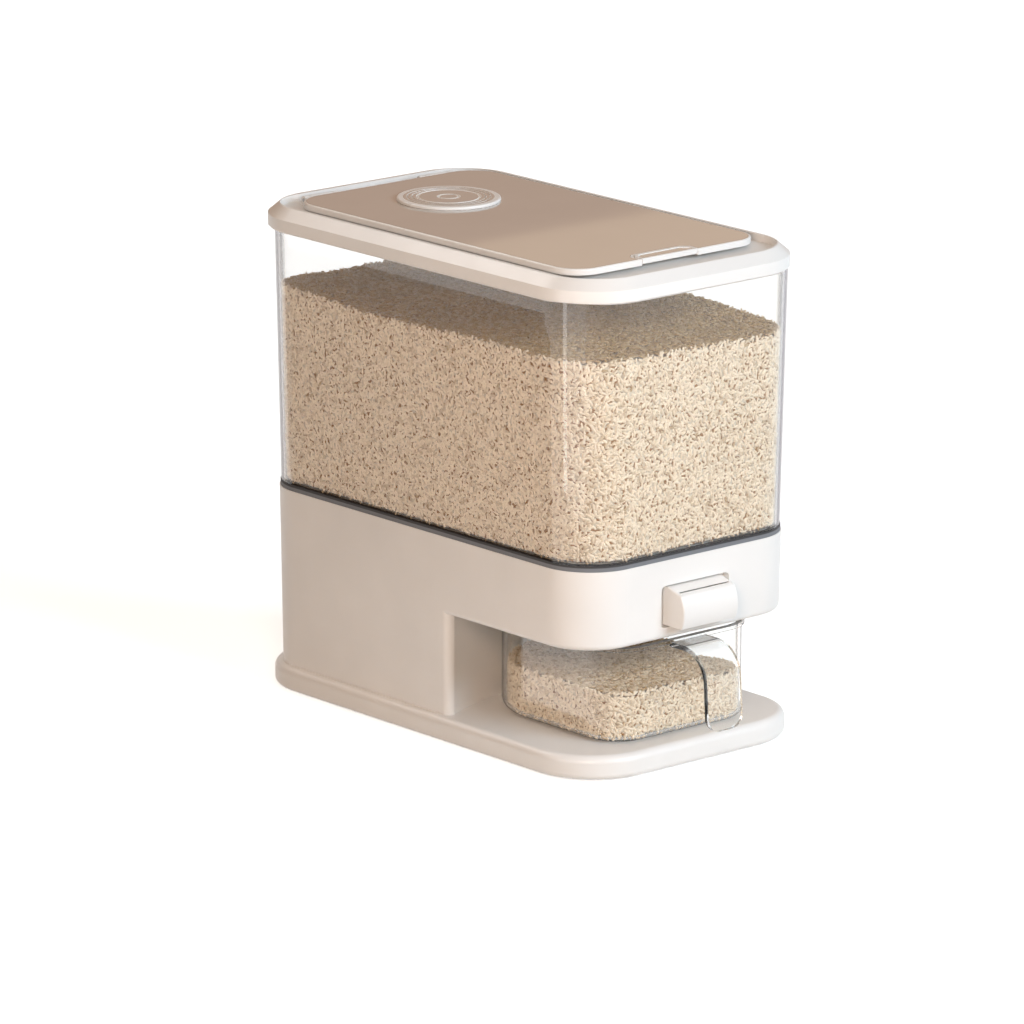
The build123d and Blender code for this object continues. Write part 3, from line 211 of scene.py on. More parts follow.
def moulded(name, colour, roughness, texture_mm, depth_mm, tone=0.03, specular=0.5, coat=0.0, wave_mm=0.0):
    """A moulded plastic or rubber: a slight drift of colour, uneven sheen and the tool's fine texture."""
    material, tree = new_material(name)
    drift = uneven(tree, size_mm=55.0, low=0.0, high=1.0)
    base = add_node(tree, "ShaderNodeMix", settings={"data_type": "RGBA"},
                    values={MIX_A: toned(colour, 1.0 - tone), MIX_B: toned(colour, 1.0 + tone)},
                    links={0: drift}).outputs[MIX_OUT]
    sheen = uneven(tree, size_mm=18.0, low=roughness * (1 - SHEEN_DRIFT), high=roughness * (1 + SHEEN_DRIFT),
                   detail=4.0)
    normal = relief(tree, texture_mm, depth_mm, FINE_RELIEF)
    if wave_mm:
        normal = relief(tree, size_mm=34.0, depth_mm=wave_mm, strength=1.0, detail=0.0, under=normal)
    shader = add_node(tree, "ShaderNodeBsdfPrincipled",
                      values={"IOR": ABS_IOR, "Specular IOR Level": specular, "Coat Weight": coat,
                              "Coat Roughness": COAT_ROUGHNESS},
                      links={"Base Color": base, "Roughness": sheen, "Normal": normal})
    add_node(tree, "ShaderNodeOutputMaterial", links={"Surface": shader.outputs["BSDF"]})
    return material


def white_abs(finish):
    """White ABS, injection-moulded in a finely sparked tool: a soft satin that catches broad highlights."""
    return moulded("abs_white_satin_moulded", list(finish.shell), roughness=0.34, texture_mm=0.9,
                   depth_mm=0.02)


def greige_abs(finish):
    """Greige ABS from a mirror-polished tool: sharp reflections that waver a little over the thin plate."""
    return moulded("abs_greige_high_gloss", list(finish.flap), roughness=0.05, texture_mm=1.5,
                   depth_mm=0.001, tone=0.02, coat=0.4, wave_mm=0.01)


def gasket_elastomer(finish):
    """Grey thermoplastic elastomer, extruded: dull, with painted shade along its top where the bin meets it.
    """
    material, tree = new_material("elastomer_grey_extruded")
    lip_height, lip_blend = 1.5 * MM, 0.4 * MM
    lip_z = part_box("bin_gasket")[1].z - lip_height
    place = add_node(tree, "ShaderNodeTexCoord")
    height = add_node(tree, "ShaderNodeSeparateXYZ", links={"Vector": place.outputs["Object"]}).outputs["Z"]
    # Painted shade: the gasket's top band is darkened where the bin meets it
    lip_shade = add_node(tree, "ShaderNodeMapRange", values={"From Min": lip_z, "From Max": lip_z + lip_blend},
                   links={"Value": height}).outputs["Result"]
    tone = add_node(tree, "ShaderNodeMix", settings={"data_type": "RGBA"},
                    values={MIX_A: list(finish.gasket), MIX_B: list(finish.gasket_lip_shade)},
                    links={0: lip_shade}).outputs[MIX_OUT]
    shader = add_node(tree, "ShaderNodeBsdfPrincipled", values={"Specular IOR Level": 0.3},
                      links={"Base Color": tone,
                             "Roughness": uneven(tree, size_mm=18.0, low=0.55, high=0.7, detail=4.0),
                             "Normal": relief(tree, size_mm=0.7, depth_mm=0.03, strength=FINE_RELIEF)})
    add_node(tree, "ShaderNodeOutputMaterial", links={"Surface": shader.outputs["BSDF"]})
    return material


def silicone(finish):
    """Translucent silicone, compression-moulded: milky with a soft sheen."""
    return moulded("silicone_milky_moulded", list(finish.seal), roughness=0.45, texture_mm=0.8,
                   depth_mm=0.02, specular=0.4)


def foot_rubber(finish):
    """Grey rubber, moulded: matte and slightly grainy."""
    return moulded("rubber_grey_moulded", list(finish.foot), roughness=0.78, texture_mm=0.8, depth_mm=0.06,
                   specular=0.3)


def natural_polypropylene(finish):
    """Natural polypropylene, moulded: off-white, waxy and a little uneven."""
    return moulded("polypropylene_natural_moulded", list(finish.works), roughness=0.42, texture_mm=1.1,
                   depth_mm=0.03, tone=0.04)


def acetal(finish):
    """Acetal, machined smooth: dense and slippery looking."""
    return moulded("acetal_white_slide", list(finish.slide), roughness=0.30, texture_mm=1.0, depth_mm=0.01)


def zinc_steel(finish):
    """Zinc-plated steel, drawn: fine lines that spread the highlight along the wire or shank."""
    material, tree = new_material("steel_zinc_plated_drawn")
    line_mm, stretch, line_tone = 0.4, 0.15, 0.86
    place = add_node(tree, "ShaderNodeTexCoord")
    squeezed = add_node(tree, "ShaderNodeMapping", values={"Scale": (1.0, stretch, 1.0)},
                        links={"Vector": place.outputs["Object"]})
    lines = add_node(tree, "ShaderNodeTexNoise", values={"Scale": 1 / (line_mm * MM), "Detail": 3.0},
                     links={"Vector": squeezed.outputs["Vector"]}).outputs["Fac"]
    tone = add_node(tree, "ShaderNodeMix", settings={"data_type": "RGBA"},
                    values={MIX_A: toned(list(finish.steel), line_tone), MIX_B: list(finish.steel)},
                    links={0: lines}).outputs[MIX_OUT]
    sheen = add_node(tree, "ShaderNodeMapRange",
                     values={"From Min": NOISE_LOW, "From Max": NOISE_HIGH, "To Min": 0.26, "To Max": 0.38},
                     links={"Value": lines}).outputs["Result"]
    bump = add_node(tree, "ShaderNodeBump", values={"Strength": 0.2, "Distance": 0.02 * MM},
                    links={"Height": lines})
    shader = add_node(tree, "ShaderNodeBsdfPrincipled", values={"Metallic": 1.0},
                      links={"Base Color": tone, "Roughness": sheen, "Normal": bump.outputs["Normal"]})
    add_node(tree, "ShaderNodeOutputMaterial", links={"Surface": shader.outputs["BSDF"]})
    return material


def near_corners(tree, low, high, reach):
    """1 at the upright rounded corners of a box-like piece, 0 on its flat walls."""
    blend = 2.0 * MM
    place = add_node(tree, "ShaderNodeTexCoord")
    offset = add_node(tree, "ShaderNodeVectorMath", settings={"operation": "SUBTRACT"},
                      values={1: (low + high) / 2}, links={0: place.outputs["Object"]})
    folded = add_node(tree, "ShaderNodeVectorMath", settings={"operation": "ABSOLUTE"},
                      links={0: offset.outputs["Vector"]})
    past = add_node(tree, "ShaderNodeVectorMath", settings={"operation": "SUBTRACT"},
                    values={1: (high - low) / 2 - Vector((reach, reach, 0))},
                    links={0: folded.outputs["Vector"]})
    parts = add_node(tree, "ShaderNodeSeparateXYZ", links={"Vector": past.outputs["Vector"]})
    least = add_node(tree, "ShaderNodeMath", settings={"operation": "MINIMUM"},
                     links={0: parts.outputs["X"], 1: parts.outputs["Y"]})
    return add_node(tree, "ShaderNodeMapRange", values={"From Min": 0.0, "From Max": blend},
                    links={"Value": least.outputs["Value"]}).outputs["Result"]


def clear_san(finish, name, wave_mm, edge, edge_from, corners=None):
    """Clear SAN, injection-moulded with polished walls: colourless, and greyer where the eye looks along it.

    The grey is partly the longer way through the plastic and partly painted dark reflection: where it grows,
    less light passes and the grey shows as a diffuse colour. edge_from is how far the wall has turned from
    the eye, 0 to 1, where the grey starts. corners keeps the grey to a box's rounded corners. Light on its
    way to the rice passes straight through.
    """
    material, tree = new_material(name)
    edge_blend, edge_opening = 0.25, 0.25
    facing = add_node(tree, "ShaderNodeLayerWeight", values={"Blend": 0.5}).outputs["Facing"]
    along = add_node(tree, "ShaderNodeMapRange", settings={"interpolation_type": "SMOOTHSTEP"},
                     values={"From Min": edge_from, "From Max": edge_from + edge_blend},
                     links={"Value": facing}).outputs["Result"]
    if corners:
        along = add_node(tree, "ShaderNodeMath", settings={"operation": "MULTIPLY"},
                         links={0: along, 1: near_corners(tree, *corners)}).outputs["Value"]
    # The grey along the walls: partly the longer way through the plastic, partly painted dark reflection
    tint = add_node(tree, "ShaderNodeMix", settings={"data_type": "RGBA"},
                    values={MIX_A: list(finish.clear), MIX_B: edge}, links={0: along}).outputs[MIX_OUT]
    let_through = add_node(tree, "ShaderNodeMapRange", values={"To Min": 1.0, "To Max": edge_opening},
                           links={"Value": along}).outputs["Result"]
    wall = add_node(tree, "ShaderNodeBsdfPrincipled", values={"IOR": SAN_IOR},
                    links={"Base Color": tint, "Transmission Weight": let_through,
                           "Roughness": uneven(tree, size_mm=30.0, low=0.008, high=0.022, detail=3.0),
                           "Normal": relief(tree, size_mm=26.0, depth_mm=wave_mm, strength=1.0, detail=1.0)})
    passing = add_node(tree, "ShaderNodeBsdfTransparent", values={"Color": toned(list(finish.clear), 0.97)})
    path = add_node(tree, "ShaderNodeLightPath")
    lit = add_node(tree, "ShaderNodeMath", settings={"operation": "MAXIMUM"},
                   links={0: path.outputs["Is Shadow Ray"], 1: path.outputs["Is Diffuse Ray"]})
    both = add_node(tree, "ShaderNodeMixShader",
                    links={0: lit.outputs["Value"], 1: wall.outputs["BSDF"], 2: passing.outputs["BSDF"]})
    add_node(tree, "ShaderNodeOutputMaterial", links={"Surface": both.outputs["Shader"]})
    return material


def raw_rice(rice):
    """Polished raw rice: chalky cream grains with a faint sheen, each a slightly different tone."""
    material, tree = new_material("rice_grains_polished")
    # The tone holds each grain's random tone, and painted shade on the grains of the top
    shade = add_node(tree, "ShaderNodeAttribute", settings={"attribute_name": GRAIN_TONE_AND_SHADE}).outputs["Fac"]
    tone = add_node(tree, "ShaderNodeMix", settings={"data_type": "RGBA"},
                    values={MIX_A: list(rice.pale), MIX_B: list(rice.dark)},
                    links={0: shade}).outputs[MIX_OUT]
    shader = add_node(tree, "ShaderNodeBsdfPrincipled", values={"IOR": RICE_IOR, "Specular IOR Level": 0.35},
                      links={"Base Color": tone, "Roughness": uneven(tree, size_mm=2.5, low=0.42, high=0.6),
                             "Normal": relief(tree, size_mm=0.9, depth_mm=0.08, strength=0.25)})
    add_node(tree, "ShaderNodeOutputMaterial", links={"Surface": shader.outputs["BSDF"]})
    return material


def rice_depth(rice):
    """The rice behind the outermost grains: the same grains in each other's shade, so darker and mottled."""
    material, tree = new_material("rice_in_shade")
    in_shade, gap_from, gap_to, cell_size = 0.68, 0.4, 0.62, rice.grain_width * 1.2
    place = add_node(tree, "ShaderNodeTexCoord")
    cells = add_node(tree, "ShaderNodeTexVoronoi", values={"Scale": 1 / cell_size},
                     links={"Vector": place.outputs["Object"]})
    chance = add_node(tree, "ShaderNodeSeparateColor",
                      links={"Color": cells.outputs["Color"]}).outputs["Red"]
    deep = add_node(tree, "ShaderNodeMapRange", values={"From Min": gap_from, "From Max": gap_to},
                    links={"Value": chance}).outputs["Result"]
    tone = add_node(tree, "ShaderNodeMix", settings={"data_type": "RGBA"},
                    values={MIX_A: toned(list(rice.pale), in_shade), MIX_B: list(rice.gap)},
                    links={0: deep}).outputs[MIX_OUT]
    shader = add_node(tree, "ShaderNodeBsdfPrincipled", values={"Roughness": 0.8, "Specular IOR Level": 0.2},
                      links={"Base Color": tone})
    add_node(tree, "ShaderNodeOutputMaterial", links={"Surface": shader.outputs["BSDF"]})
    return material


# Pieces in mesh

def finish_nodes(nodes, material):
    """Puts a material in the slots of CAD nodes."""
    for node in nodes:
        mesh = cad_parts[node].data
        mesh.materials.clear()
        mesh.materials.append(material)


def new_piece(name, vertices, faces, material, body):
    """A mesh piece that rides on a body."""
    mesh = bpy.data.meshes.new(name)
    mesh.from_pydata([tuple(v) for v in vertices], [], [tuple(f) for f in faces])
    mesh.materials.append(material)
    mesh.update()
    piece = bpy.data.objects.new(name, mesh)
    bpy.context.scene.collection.objects.link(piece)
    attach(piece, body)
    return piece


# Inlays: how far the rim goes into the face under it, and on the twist cap its rise, rounding and sides
INLAY_SUNK = 0.02 * MM
CAP_INLAY_RISE = 0.06 * MM
CAP_INLAY_ROUND = 0.35 * MM
CAP_INLAY_SIDES = 96
# Twist cap: its broad greige ring, the narrow rings in its grooved border, and the disc in the finger ring
CAP_BROAD_RING = (6.7 * MM, 16.6 * MM)
CAP_NARROW_RINGS = (18.2 * MM, 20.9 * MM, 23.6 * MM)
CAP_NARROW_W = 1.9 * MM
CAP_DISC_R = 4.9 * MM


def cap_inlay(name, middle, inner, outer, z, material):
    """A thin ring with soft rims let into the twist cap's top at height z, or a disc where inner is 0."""
    loops = [(outer, z - INLAY_SUNK), (outer - CAP_INLAY_ROUND, z + CAP_INLAY_RISE)]
    if inner:
        loops += [(inner + CAP_INLAY_ROUND, z + CAP_INLAY_RISE), (inner, z - INLAY_SUNK)]
    sides = CAP_INLAY_SIDES
    vertices, faces = [], []
    for radius, height in loops:
        for side in range(sides):
            angle = 2 * math.pi * side / sides
            vertices.append((middle[0] + radius * math.cos(angle), middle[1] + radius * math.sin(angle),
                             height))
    for loop in range(len(loops) - 1):
        low, high = loop * sides, (loop + 1) * sides
        for side in range(sides):
            after = (side + 1) % sides
            faces.append((low + side, low + after, high + after, high + side))
    if not inner:
        faces.append(range(sides, 2 * sides))
    new_piece(name, vertices, faces, material, "dial")


# Press tab: its flange under the flap, the border round its dish, the dish's depth, the cut rear corners
TAB_FLANGE = 1.2 * MM
TAB_BORDER = 1.6 * MM
TAB_DISH = 0.5 * MM
TAB_CUT = 4.0 * MM
TAB_INLAY_RISE = 0.15 * MM
TAB_INLAY_ROUND = 0.3 * MM


def tab_inlay(name, material):
    """A thin plate in the press tab's dish, with softened edges and the tab's own cut-off rear corners."""
    low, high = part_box("press_tab")
    half_w = (high.x - low.x) / 2 - TAB_FLANGE - TAB_BORDER
    front, rear = low.y + TAB_BORDER, high.y - TAB_FLANGE - TAB_BORDER
    floor_z = high.z - TAB_DISH
    vertices = []
    for inset, z in ((0.0, floor_z - INLAY_SUNK), (TAB_INLAY_ROUND, floor_z + TAB_INLAY_RISE)):
        w, f, r = half_w - inset, front + inset, rear - inset
        vertices += [(-w, f, z), (w, f, z), (w, r - TAB_CUT, z), (w - TAB_CUT, r, z), (-w + TAB_CUT, r, z),
                     (-w, r - TAB_CUT, z)]
    sides = len(vertices) // 2
    faces = [(i, (i + 1) % sides, sides + (i + 1) % sides, sides + i) for i in range(sides)]
    faces.append(range(sides, 2 * sides))
    new_piece(name, vertices, faces, material, "tab")


def shortening_spring(node):
    """A copy of a return spring on the base, in place of the rigid one."""
    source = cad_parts[node]
    piece = bpy.data.objects.new(f"{node}_coils", source.data.copy())
    piece.matrix_world = source.matrix_world.copy()
    bpy.context.scene.collection.objects.link(piece)
    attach(piece, "base")
    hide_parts(node)
    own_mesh(piece)


# Rice

# One grain, as shares of its length and width: the places and widths of its two rings of corners
GRAIN_RINGS = ((-0.30, 0.82), (0.26, 0.88))
GRAIN_SIDES = 4
GRAIN_FLATNESS = 0.82
GRAIN_LENGTHS = (0.82, 1.12)
GRAIN_WIDTHS = (0.86, 1.1)
GRAIN_LEAN = 0.16
# A grain's tone runs from 0, pale, to 1, dark: these two shape parameters make most grains pale
GRAIN_TONES = (0.7, 3.0)
# Where a surface leans from level by less than this sine, grains are laid out from the y axis, not from z
NEARLY_UP = 0.3
# Grains: spacing at a wall, how deep they lie about there and on top, and their middles' depth in widths
WALL_SPACING = 1.75 * MM
WALL_DEPTH = 0.5 * MM
TOP_DEPTH = 1.0 * MM
GRAIN_SINK = 0.41
# Room between wall and grains. The mass of rice starts this far behind that, and this far under the top
WALL_GAP = 0.4 * MM
MASS_BEHIND = 1.0 * MM
MASS_UNDER_TOP = 2.6 * MM
MASS_TOP_ROWS = 24
WALL_TOP_MARGIN = 0.5 * MM
CORNER_STEPS = 10
# Swells of the rice's top: lengths and shifts of the waves, and the shares of the short one and the fall
SWELL_ACROSS, SWELL_ALONG, SWELL_SHORT, SWELL_FALL = 37.0 * MM, 51.0 * MM, 23.0 * MM, 61.0 * MM
SHIFT_ACROSS, SHIFT_ALONG = 0.6, 0.4
SHORT_SHARE, FALL_SHARE = 0.5, 0.8
# The bin's and the cup's insides, from the solids, and the swell of the rice in each
BIN_WALL, BIN_CORNER_R, BIN_DRAFT_DEG = 2.4 * MM, 27.5 * MM, 1.186
BIN_FLOOR, BIN_SWELL = 1.6 * MM, 1.6 * MM
CUP_WALL, CUP_LIP, CUP_LENGTH = 2.2 * MM, 1.5 * MM, 120.2 * MM
CUP_FRONT_R, CUP_REAR_R = 19.8 * MM, 42.8 * MM
CUP_FLOOR_Z, CUP_SWELL = 19.5 * MM, 1.2 * MM


class Filling(NamedTuple):
    """The inside of a vessel that holds rice, and how the rice lies in it."""

    name: str
    body: str
    ring: np.ndarray
    outward: np.ndarray
    floor_z: float
    first_row: float
    last_row: float
    draft: float
    top: Callable
    top_spacing: float
    top_push: float
    # How much darker the top grains are made, as painted shade
    painted_top_shade: float


def plan_ring(half_w, front, rear, front_r, rear_r):
    """A rounded plan's points, anticlockwise from the rear right, with each one's outward direction."""
    points, outward = [], []
    corners = ((half_w - rear_r, rear - rear_r, rear_r, 0),
               (-half_w + rear_r, rear - rear_r, rear_r, 90),
               (-half_w + front_r, front + front_r, front_r, 180),
               (half_w - front_r, front + front_r, front_r, 270))
    for x, y, radius, start in corners:
        for step in range(CORNER_STEPS + 1):
            angle = math.radians(start + 90 * step / CORNER_STEPS)
            outward.append((math.cos(angle), math.sin(angle)))
            points.append((x + radius * outward[-1][0], y + radius * outward[-1][1]))
    return np.array(points), np.array(outward)


def heap(x, y, level, swell):
    """The rice's uneven top: low long swells, and a slight fall to one side."""
    return (level + swell * (np.sin(x / SWELL_ACROSS + SHIFT_ACROSS) * np.cos(y / SWELL_ALONG + SHIFT_ALONG)
                             + SHORT_SHARE * np.sin((x + y) / SWELL_SHORT))
            + swell * FALL_SHARE * np.cos((x - y) / SWELL_FALL))


def grain_shape():
    """One grain about the origin, one unit long, wide and thick: a blunt spindle."""
    vertices = [(-0.5, 0, 0)]
    for x, size in GRAIN_RINGS:
        for side in range(GRAIN_SIDES):
            angle = 2 * math.pi * side / GRAIN_SIDES
            vertices.append((x, 0.5 * size * math.cos(angle), 0.5 * size * math.sin(angle)))
    vertices.append((0.5, 0, 0))
    tip = len(vertices) - 1
    faces = []
    for side in range(GRAIN_SIDES):
        here, after = 1 + side, 1 + (side + 1) % GRAIN_SIDES
        faces.append((0, after, here))
        faces.append((here, after, GRAIN_SIDES + after, GRAIN_SIDES + here))
        faces.append((tip, GRAIN_SIDES + here, GRAIN_SIDES + after))
    return np.array(vertices), faces


def grain_mesh(name, places, outward, rice, random, material, body, painted_top_shade=0.0):
    """Grains lying along a surface: places are their middles, outward is the surface's direction there."""
    shape, faces = grain_shape()
    count = len(places)
    turn = random.uniform(0, 2 * math.pi, count)
    lean = random.normal(0, GRAIN_LEAN, count)
    across = np.cross(outward, [0.0, 0.0, 1.0])
    level = np.linalg.norm(across, axis=1) < NEARLY_UP
    across[level] = np.cross(outward[level], [0.0, 1.0, 0.0])
    across /= np.linalg.norm(across, axis=1)[:, None]
    upward = np.cross(across, outward)
    along = across * np.cos(turn)[:, None] + upward * np.sin(turn)[:, None]
    side = np.cross(outward, along)
    leaning = along * np.cos(lean)[:, None] + outward * np.sin(lean)[:, None]
    thick = np.cross(leaning, side)
    length = rice.grain_length * random.uniform(*GRAIN_LENGTHS, count)
    width = rice.grain_width * random.uniform(*GRAIN_WIDTHS, count)
    points = (places[:, None, :]
              + shape[None, :, 0, None] * (leaning * length[:, None])[:, None, :]
              + shape[None, :, 1, None] * (side * width[:, None])[:, None, :]
              + shape[None, :, 2, None] * (thick * (width * GRAIN_FLATNESS)[:, None])[:, None, :])
    loops = [tuple(start + corner for corner in face)
             for start in range(0, count * len(shape), len(shape)) for face in faces]
    piece = new_piece(name, points.reshape(-1, 3), loops, material, body)
    tone = piece.data.attributes.new(GRAIN_TONE_AND_SHADE, "FLOAT", "POINT")
    # painted_top_shade darkens the top grains' tones: painted shade
    tones_and_shade = np.minimum(1.0, random.beta(*GRAIN_TONES, count) + painted_top_shade)
    tone.data.foreach_set("value", np.repeat(tones_and_shade, len(shape)))
    piece.data.polygons.foreach_set("use_smooth", [True] * len(piece.data.polygons))


def wall_places(filling, sink, random):
    """Jittered places on the vessel's drafted wall, and the wall's direction at each."""
    closed = np.vstack([filling.ring, filling.ring[:1]])
    around = np.vstack([filling.outward, filling.outward[:1]])
    travel = np.concatenate([[0], np.cumsum(np.linalg.norm(np.diff(closed, axis=0), axis=1))])
    columns = int(travel[-1] / WALL_SPACING)
    rows = int((filling.last_row - filling.first_row) / WALL_SPACING) + 1
    s, z = np.meshgrid(np.arange(columns) * travel[-1] / columns,
                       filling.first_row + np.arange(rows) * WALL_SPACING)
    s = (s.ravel() + random.uniform(-0.5, 0.5, s.size) * WALL_SPACING) % travel[-1]
    z = z.ravel() + random.uniform(-0.5, 0.5, z.size) * WALL_SPACING
    x, y = (np.interp(s, travel, closed[:, axis]) for axis in (0, 1))
    nx, ny = (np.interp(s, travel, around[:, axis]) for axis in (0, 1))
    depth = sink + random.uniform(0, WALL_DEPTH, s.size)
    push = (z - filling.first_row) * filling.draft - depth
    return np.column_stack([x + nx * push, y + ny * push, z]), np.column_stack([nx, ny, np.zeros_like(nx)])


def top_places(filling, random):
    """Jittered places on the rice's top, and a direction near upright for each."""
    edge = filling.ring + filling.outward * filling.top_push
    low, high = edge.min(axis=0), edge.max(axis=0)
    x, y = np.meshgrid(*(np.arange(low[axis], high[axis], filling.top_spacing) for axis in (0, 1)))
    x = x.ravel() + random.uniform(-0.5, 0.5, x.size) * filling.top_spacing
    y = y.ravel() + random.uniform(-0.5, 0.5, y.size) * filling.top_spacing
    inside = np.ones_like(x, bool)
    for start, end in zip(edge, np.roll(edge, -1, axis=0)):
        inside &= (end[0] - start[0]) * (y - start[1]) - (end[1] - start[1]) * (x - start[0]) > 0
    x, y = x[inside], y[inside]
    z = filling.top(x, y) - random.uniform(0.0, TOP_DEPTH, x.size)
    facing = np.column_stack([random.normal(0, GRAIN_LEAN, x.size), random.normal(0, GRAIN_LEAN, x.size),
                              np.ones_like(x)])
    return np.column_stack([x, y, z]), facing / np.linalg.norm(facing, axis=1)[:, None]


def rice_mass(filling, material):
    """The rice behind its outermost grains: walls inside the vessel and a top of ever smaller rings."""
    sink = WALL_GAP + MASS_BEHIND
    ring, outward, top = filling.ring, filling.outward, filling.top
    count = len(ring)
    low = ring - outward * sink
    tall = np.array([top(p[0], p[1]) for p in ring])
    high = ring + outward * (((tall - filling.floor_z) * filling.draft) - sink)[:, None]
    centre = low.mean(axis=0)
    vertices = [(p[0], p[1], filling.floor_z) for p in low]
    faces = [tuple(reversed(range(count)))]
    for row in range(MASS_TOP_ROWS):
        share = 1 - row / MASS_TOP_ROWS
        for p in high:
            x, y = centre + (p - centre) * share
            vertices.append((x, y, top(x, y) - MASS_UNDER_TOP))
        before, base = row * count, (row + 1) * count
        faces += [(before + i, before + (i + 1) % count, base + (i + 1) % count, base + i)
                  for i in range(count)]
    last, middle = MASS_TOP_ROWS * count, len(vertices)
    vertices.append((centre[0], centre[1], top(*centre) - MASS_UNDER_TOP))
    faces += [(last + i, last + (i + 1) % count, middle) for i in range(count)]
    new_piece(f"{filling.name}_mass", vertices, faces, material, filling.body)


def pour(filling, rice, random):
    """Fills a vessel with a mass, grains at the walls, and grains on top that are darkened as painted shade.
    """
    grains = raw_rice(rice)
    rice_mass(filling, rice_depth(rice))
    places, facing = wall_places(filling, WALL_GAP + rice.grain_width * GRAIN_SINK, random)
    under = places[:, 2] < filling.top(places[:, 0], places[:, 1]) - WALL_TOP_MARGIN
    grain_mesh(f"{filling.name}_walls", places[under], facing[under], rice, random, grains, filling.body)
    places, facing = top_places(filling, random)
    grain_mesh(f"{filling.name}_top", places, facing, rice, random, grains, filling.body, filling.painted_top_shade)


def bin_filling(rice):
    """The bin's inside, wider towards the top."""
    low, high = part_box("clear_bin")
    floor_z = low.z + BIN_FLOOR
    draft = math.tan(math.radians(BIN_DRAFT_DEG))
    inset = BIN_WALL + (high.z - floor_z) * draft
    ring, outward = plan_ring(high.x - inset, low.y + inset, high.y - inset, BIN_CORNER_R, BIN_CORNER_R)
    return Filling(name="rice_in_bin", body="base", ring=ring, outward=outward, floor_z=floor_z,
                   first_row=floor_z + 1.0 * MM, last_row=rice.bin_level + 5.0 * MM, draft=draft,
                   top=lambda x, y: heap(x, y, rice.bin_level, BIN_SWELL), top_spacing=2.0 * MM,
                   # The rice's top under the lid gets painted shade
                   top_push=(rice.bin_level - floor_z) * draft - 1.6 * MM, painted_top_shade=0.8)


def cup_filling(rice):
    """The measuring cup's upright inside."""
    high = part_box("measuring_cup")[1]
    rear = high.y - CUP_LIP - CUP_WALL
    front = rear - (CUP_LENGTH - 2 * CUP_WALL)
    ring, outward = plan_ring(high.x - CUP_LIP - CUP_WALL, front, rear, CUP_FRONT_R, CUP_REAR_R)
    return Filling(name="rice_in_cup", body="cup", ring=ring, outward=outward, floor_z=CUP_FLOOR_Z,
                   first_row=CUP_FLOOR_Z, last_row=rice.cup_level + 4.0 * MM, draft=0.0,
                   top=lambda x, y: heap(x, y, rice.cup_level, CUP_SWELL), top_spacing=WALL_SPACING,
                   # The rice's top under the housing's overhang gets painted shade
                   top_push=-2.4 * MM, painted_top_shade=0.5)


# Operators

class DISPENSER_OT_white_shell(bpy.types.Operator):
    """Finishes the plate, housing, button, lid, flap, press tab and twist cap in white ABS"""

    bl_idname = "dispenser.white_shell"
    bl_label = "White shell"

    def execute(self, context):
        nodes = ("base_plate", "base_housing", "push_button", "lid_frame", "lid_flap", "press_tab",
                 "dial_cap")
        finish_nodes(nodes, white_abs(context.scene.dispenser_finish))
        return {"FINISHED"}


class DISPENSER_OT_flap(bpy.types.Operator):
    """Finishes the flap's panel in high-gloss greige ABS, and lets the same into tab and twist cap"""

    bl_idname = "dispenser.flap"
    bl_label = "Flap panel and inlays"

    def execute(self, context):
        gloss = greige_abs(context.scene.dispenser_finish)
        finish_nodes(("flap_panel",), gloss)
        low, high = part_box("dial_cap")
        middle = ((low.x + high.x) / 2, (low.y + high.y) / 2)
        cap_inlay("twist_cap_inlay", middle, *CAP_BROAD_RING, high.z, gloss)
        for number, inner in enumerate(CAP_NARROW_RINGS, 1):
            cap_inlay(f"twist_cap_ring_{number}", middle, inner, inner + CAP_NARROW_W, high.z, gloss)
        cap_inlay("twist_cap_centre", middle, 0.0, CAP_DISC_R, high.z, gloss)
        tab_inlay("press_tab_inlay", gloss)
        return {"FINISHED"}


class DISPENSER_OT_clear_pieces(bpy.types.Operator):
    """Finishes the bin and the measuring cup in clear SAN"""

    bl_idname = "dispenser.clear_pieces"
    bl_label = "Clear bin and cup"

    def execute(self, context):
        finish = context.scene.dispenser_finish
        edge = list(finish.edge)
        # Both get edge grey that is partly painted dark reflection; the cup's is darker still, outlining its
        # handle
        corners = (*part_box("clear_bin"), BIN_CORNER_REACH)
        bin_clear = clear_san(finish, "san_clear_bin", wave_mm=0.01, edge=edge, edge_from=0.5,
                              corners=corners)
        cup_clear = clear_san(finish, "san_clear_cup", wave_mm=0.02, edge=toned(edge, 0.2), edge_from=0.6)
        finish_nodes(("clear_bin",), bin_clear)
        finish_nodes(("measuring_cup",), cup_clear)
        return {"FINISHED"}


class DISPENSER_OT_soft_trim(bpy.types.Operator):
    """Finishes the gasket, the seals and the feet"""

    bl_idname = "dispenser.soft_trim"
    bl_label = "Gasket, seals and feet"

    def execute(self, context):
        finish = context.scene.dispenser_finish
        finish_nodes(("bin_gasket",), gasket_elastomer(finish))
        finish_nodes(("lid_seal", "flap_seal"), silicone(finish))
        finish_nodes([f"rubber_foot_{number}" for number in range(1, 5)], foot_rubber(finish))
        return {"FINISHED"}


class DISPENSER_OT_inner_works(bpy.types.Operator):
    """Finishes the hopper, guide, shutter, springs, rods, pins and screws"""

    bl_idname = "dispenser.inner_works"
    bl_label = "Inner works"

    def execute(self, context):
        finish = context.scene.dispenser_finish
        finish_nodes(("hopper", "shutter_guide", "moisture_box"), natural_polypropylene(finish))
        finish_nodes(("shutter",), acetal(finish))
        words = ("screws", "spring", "pin_")
        metal = [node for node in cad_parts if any(word in node for word in words)]
        finish_nodes(metal, zinc_steel(finish))
        for side in ("left", "right"):
            shortening_spring(f"return_spring_{side}")
        return {"FINISHED"}


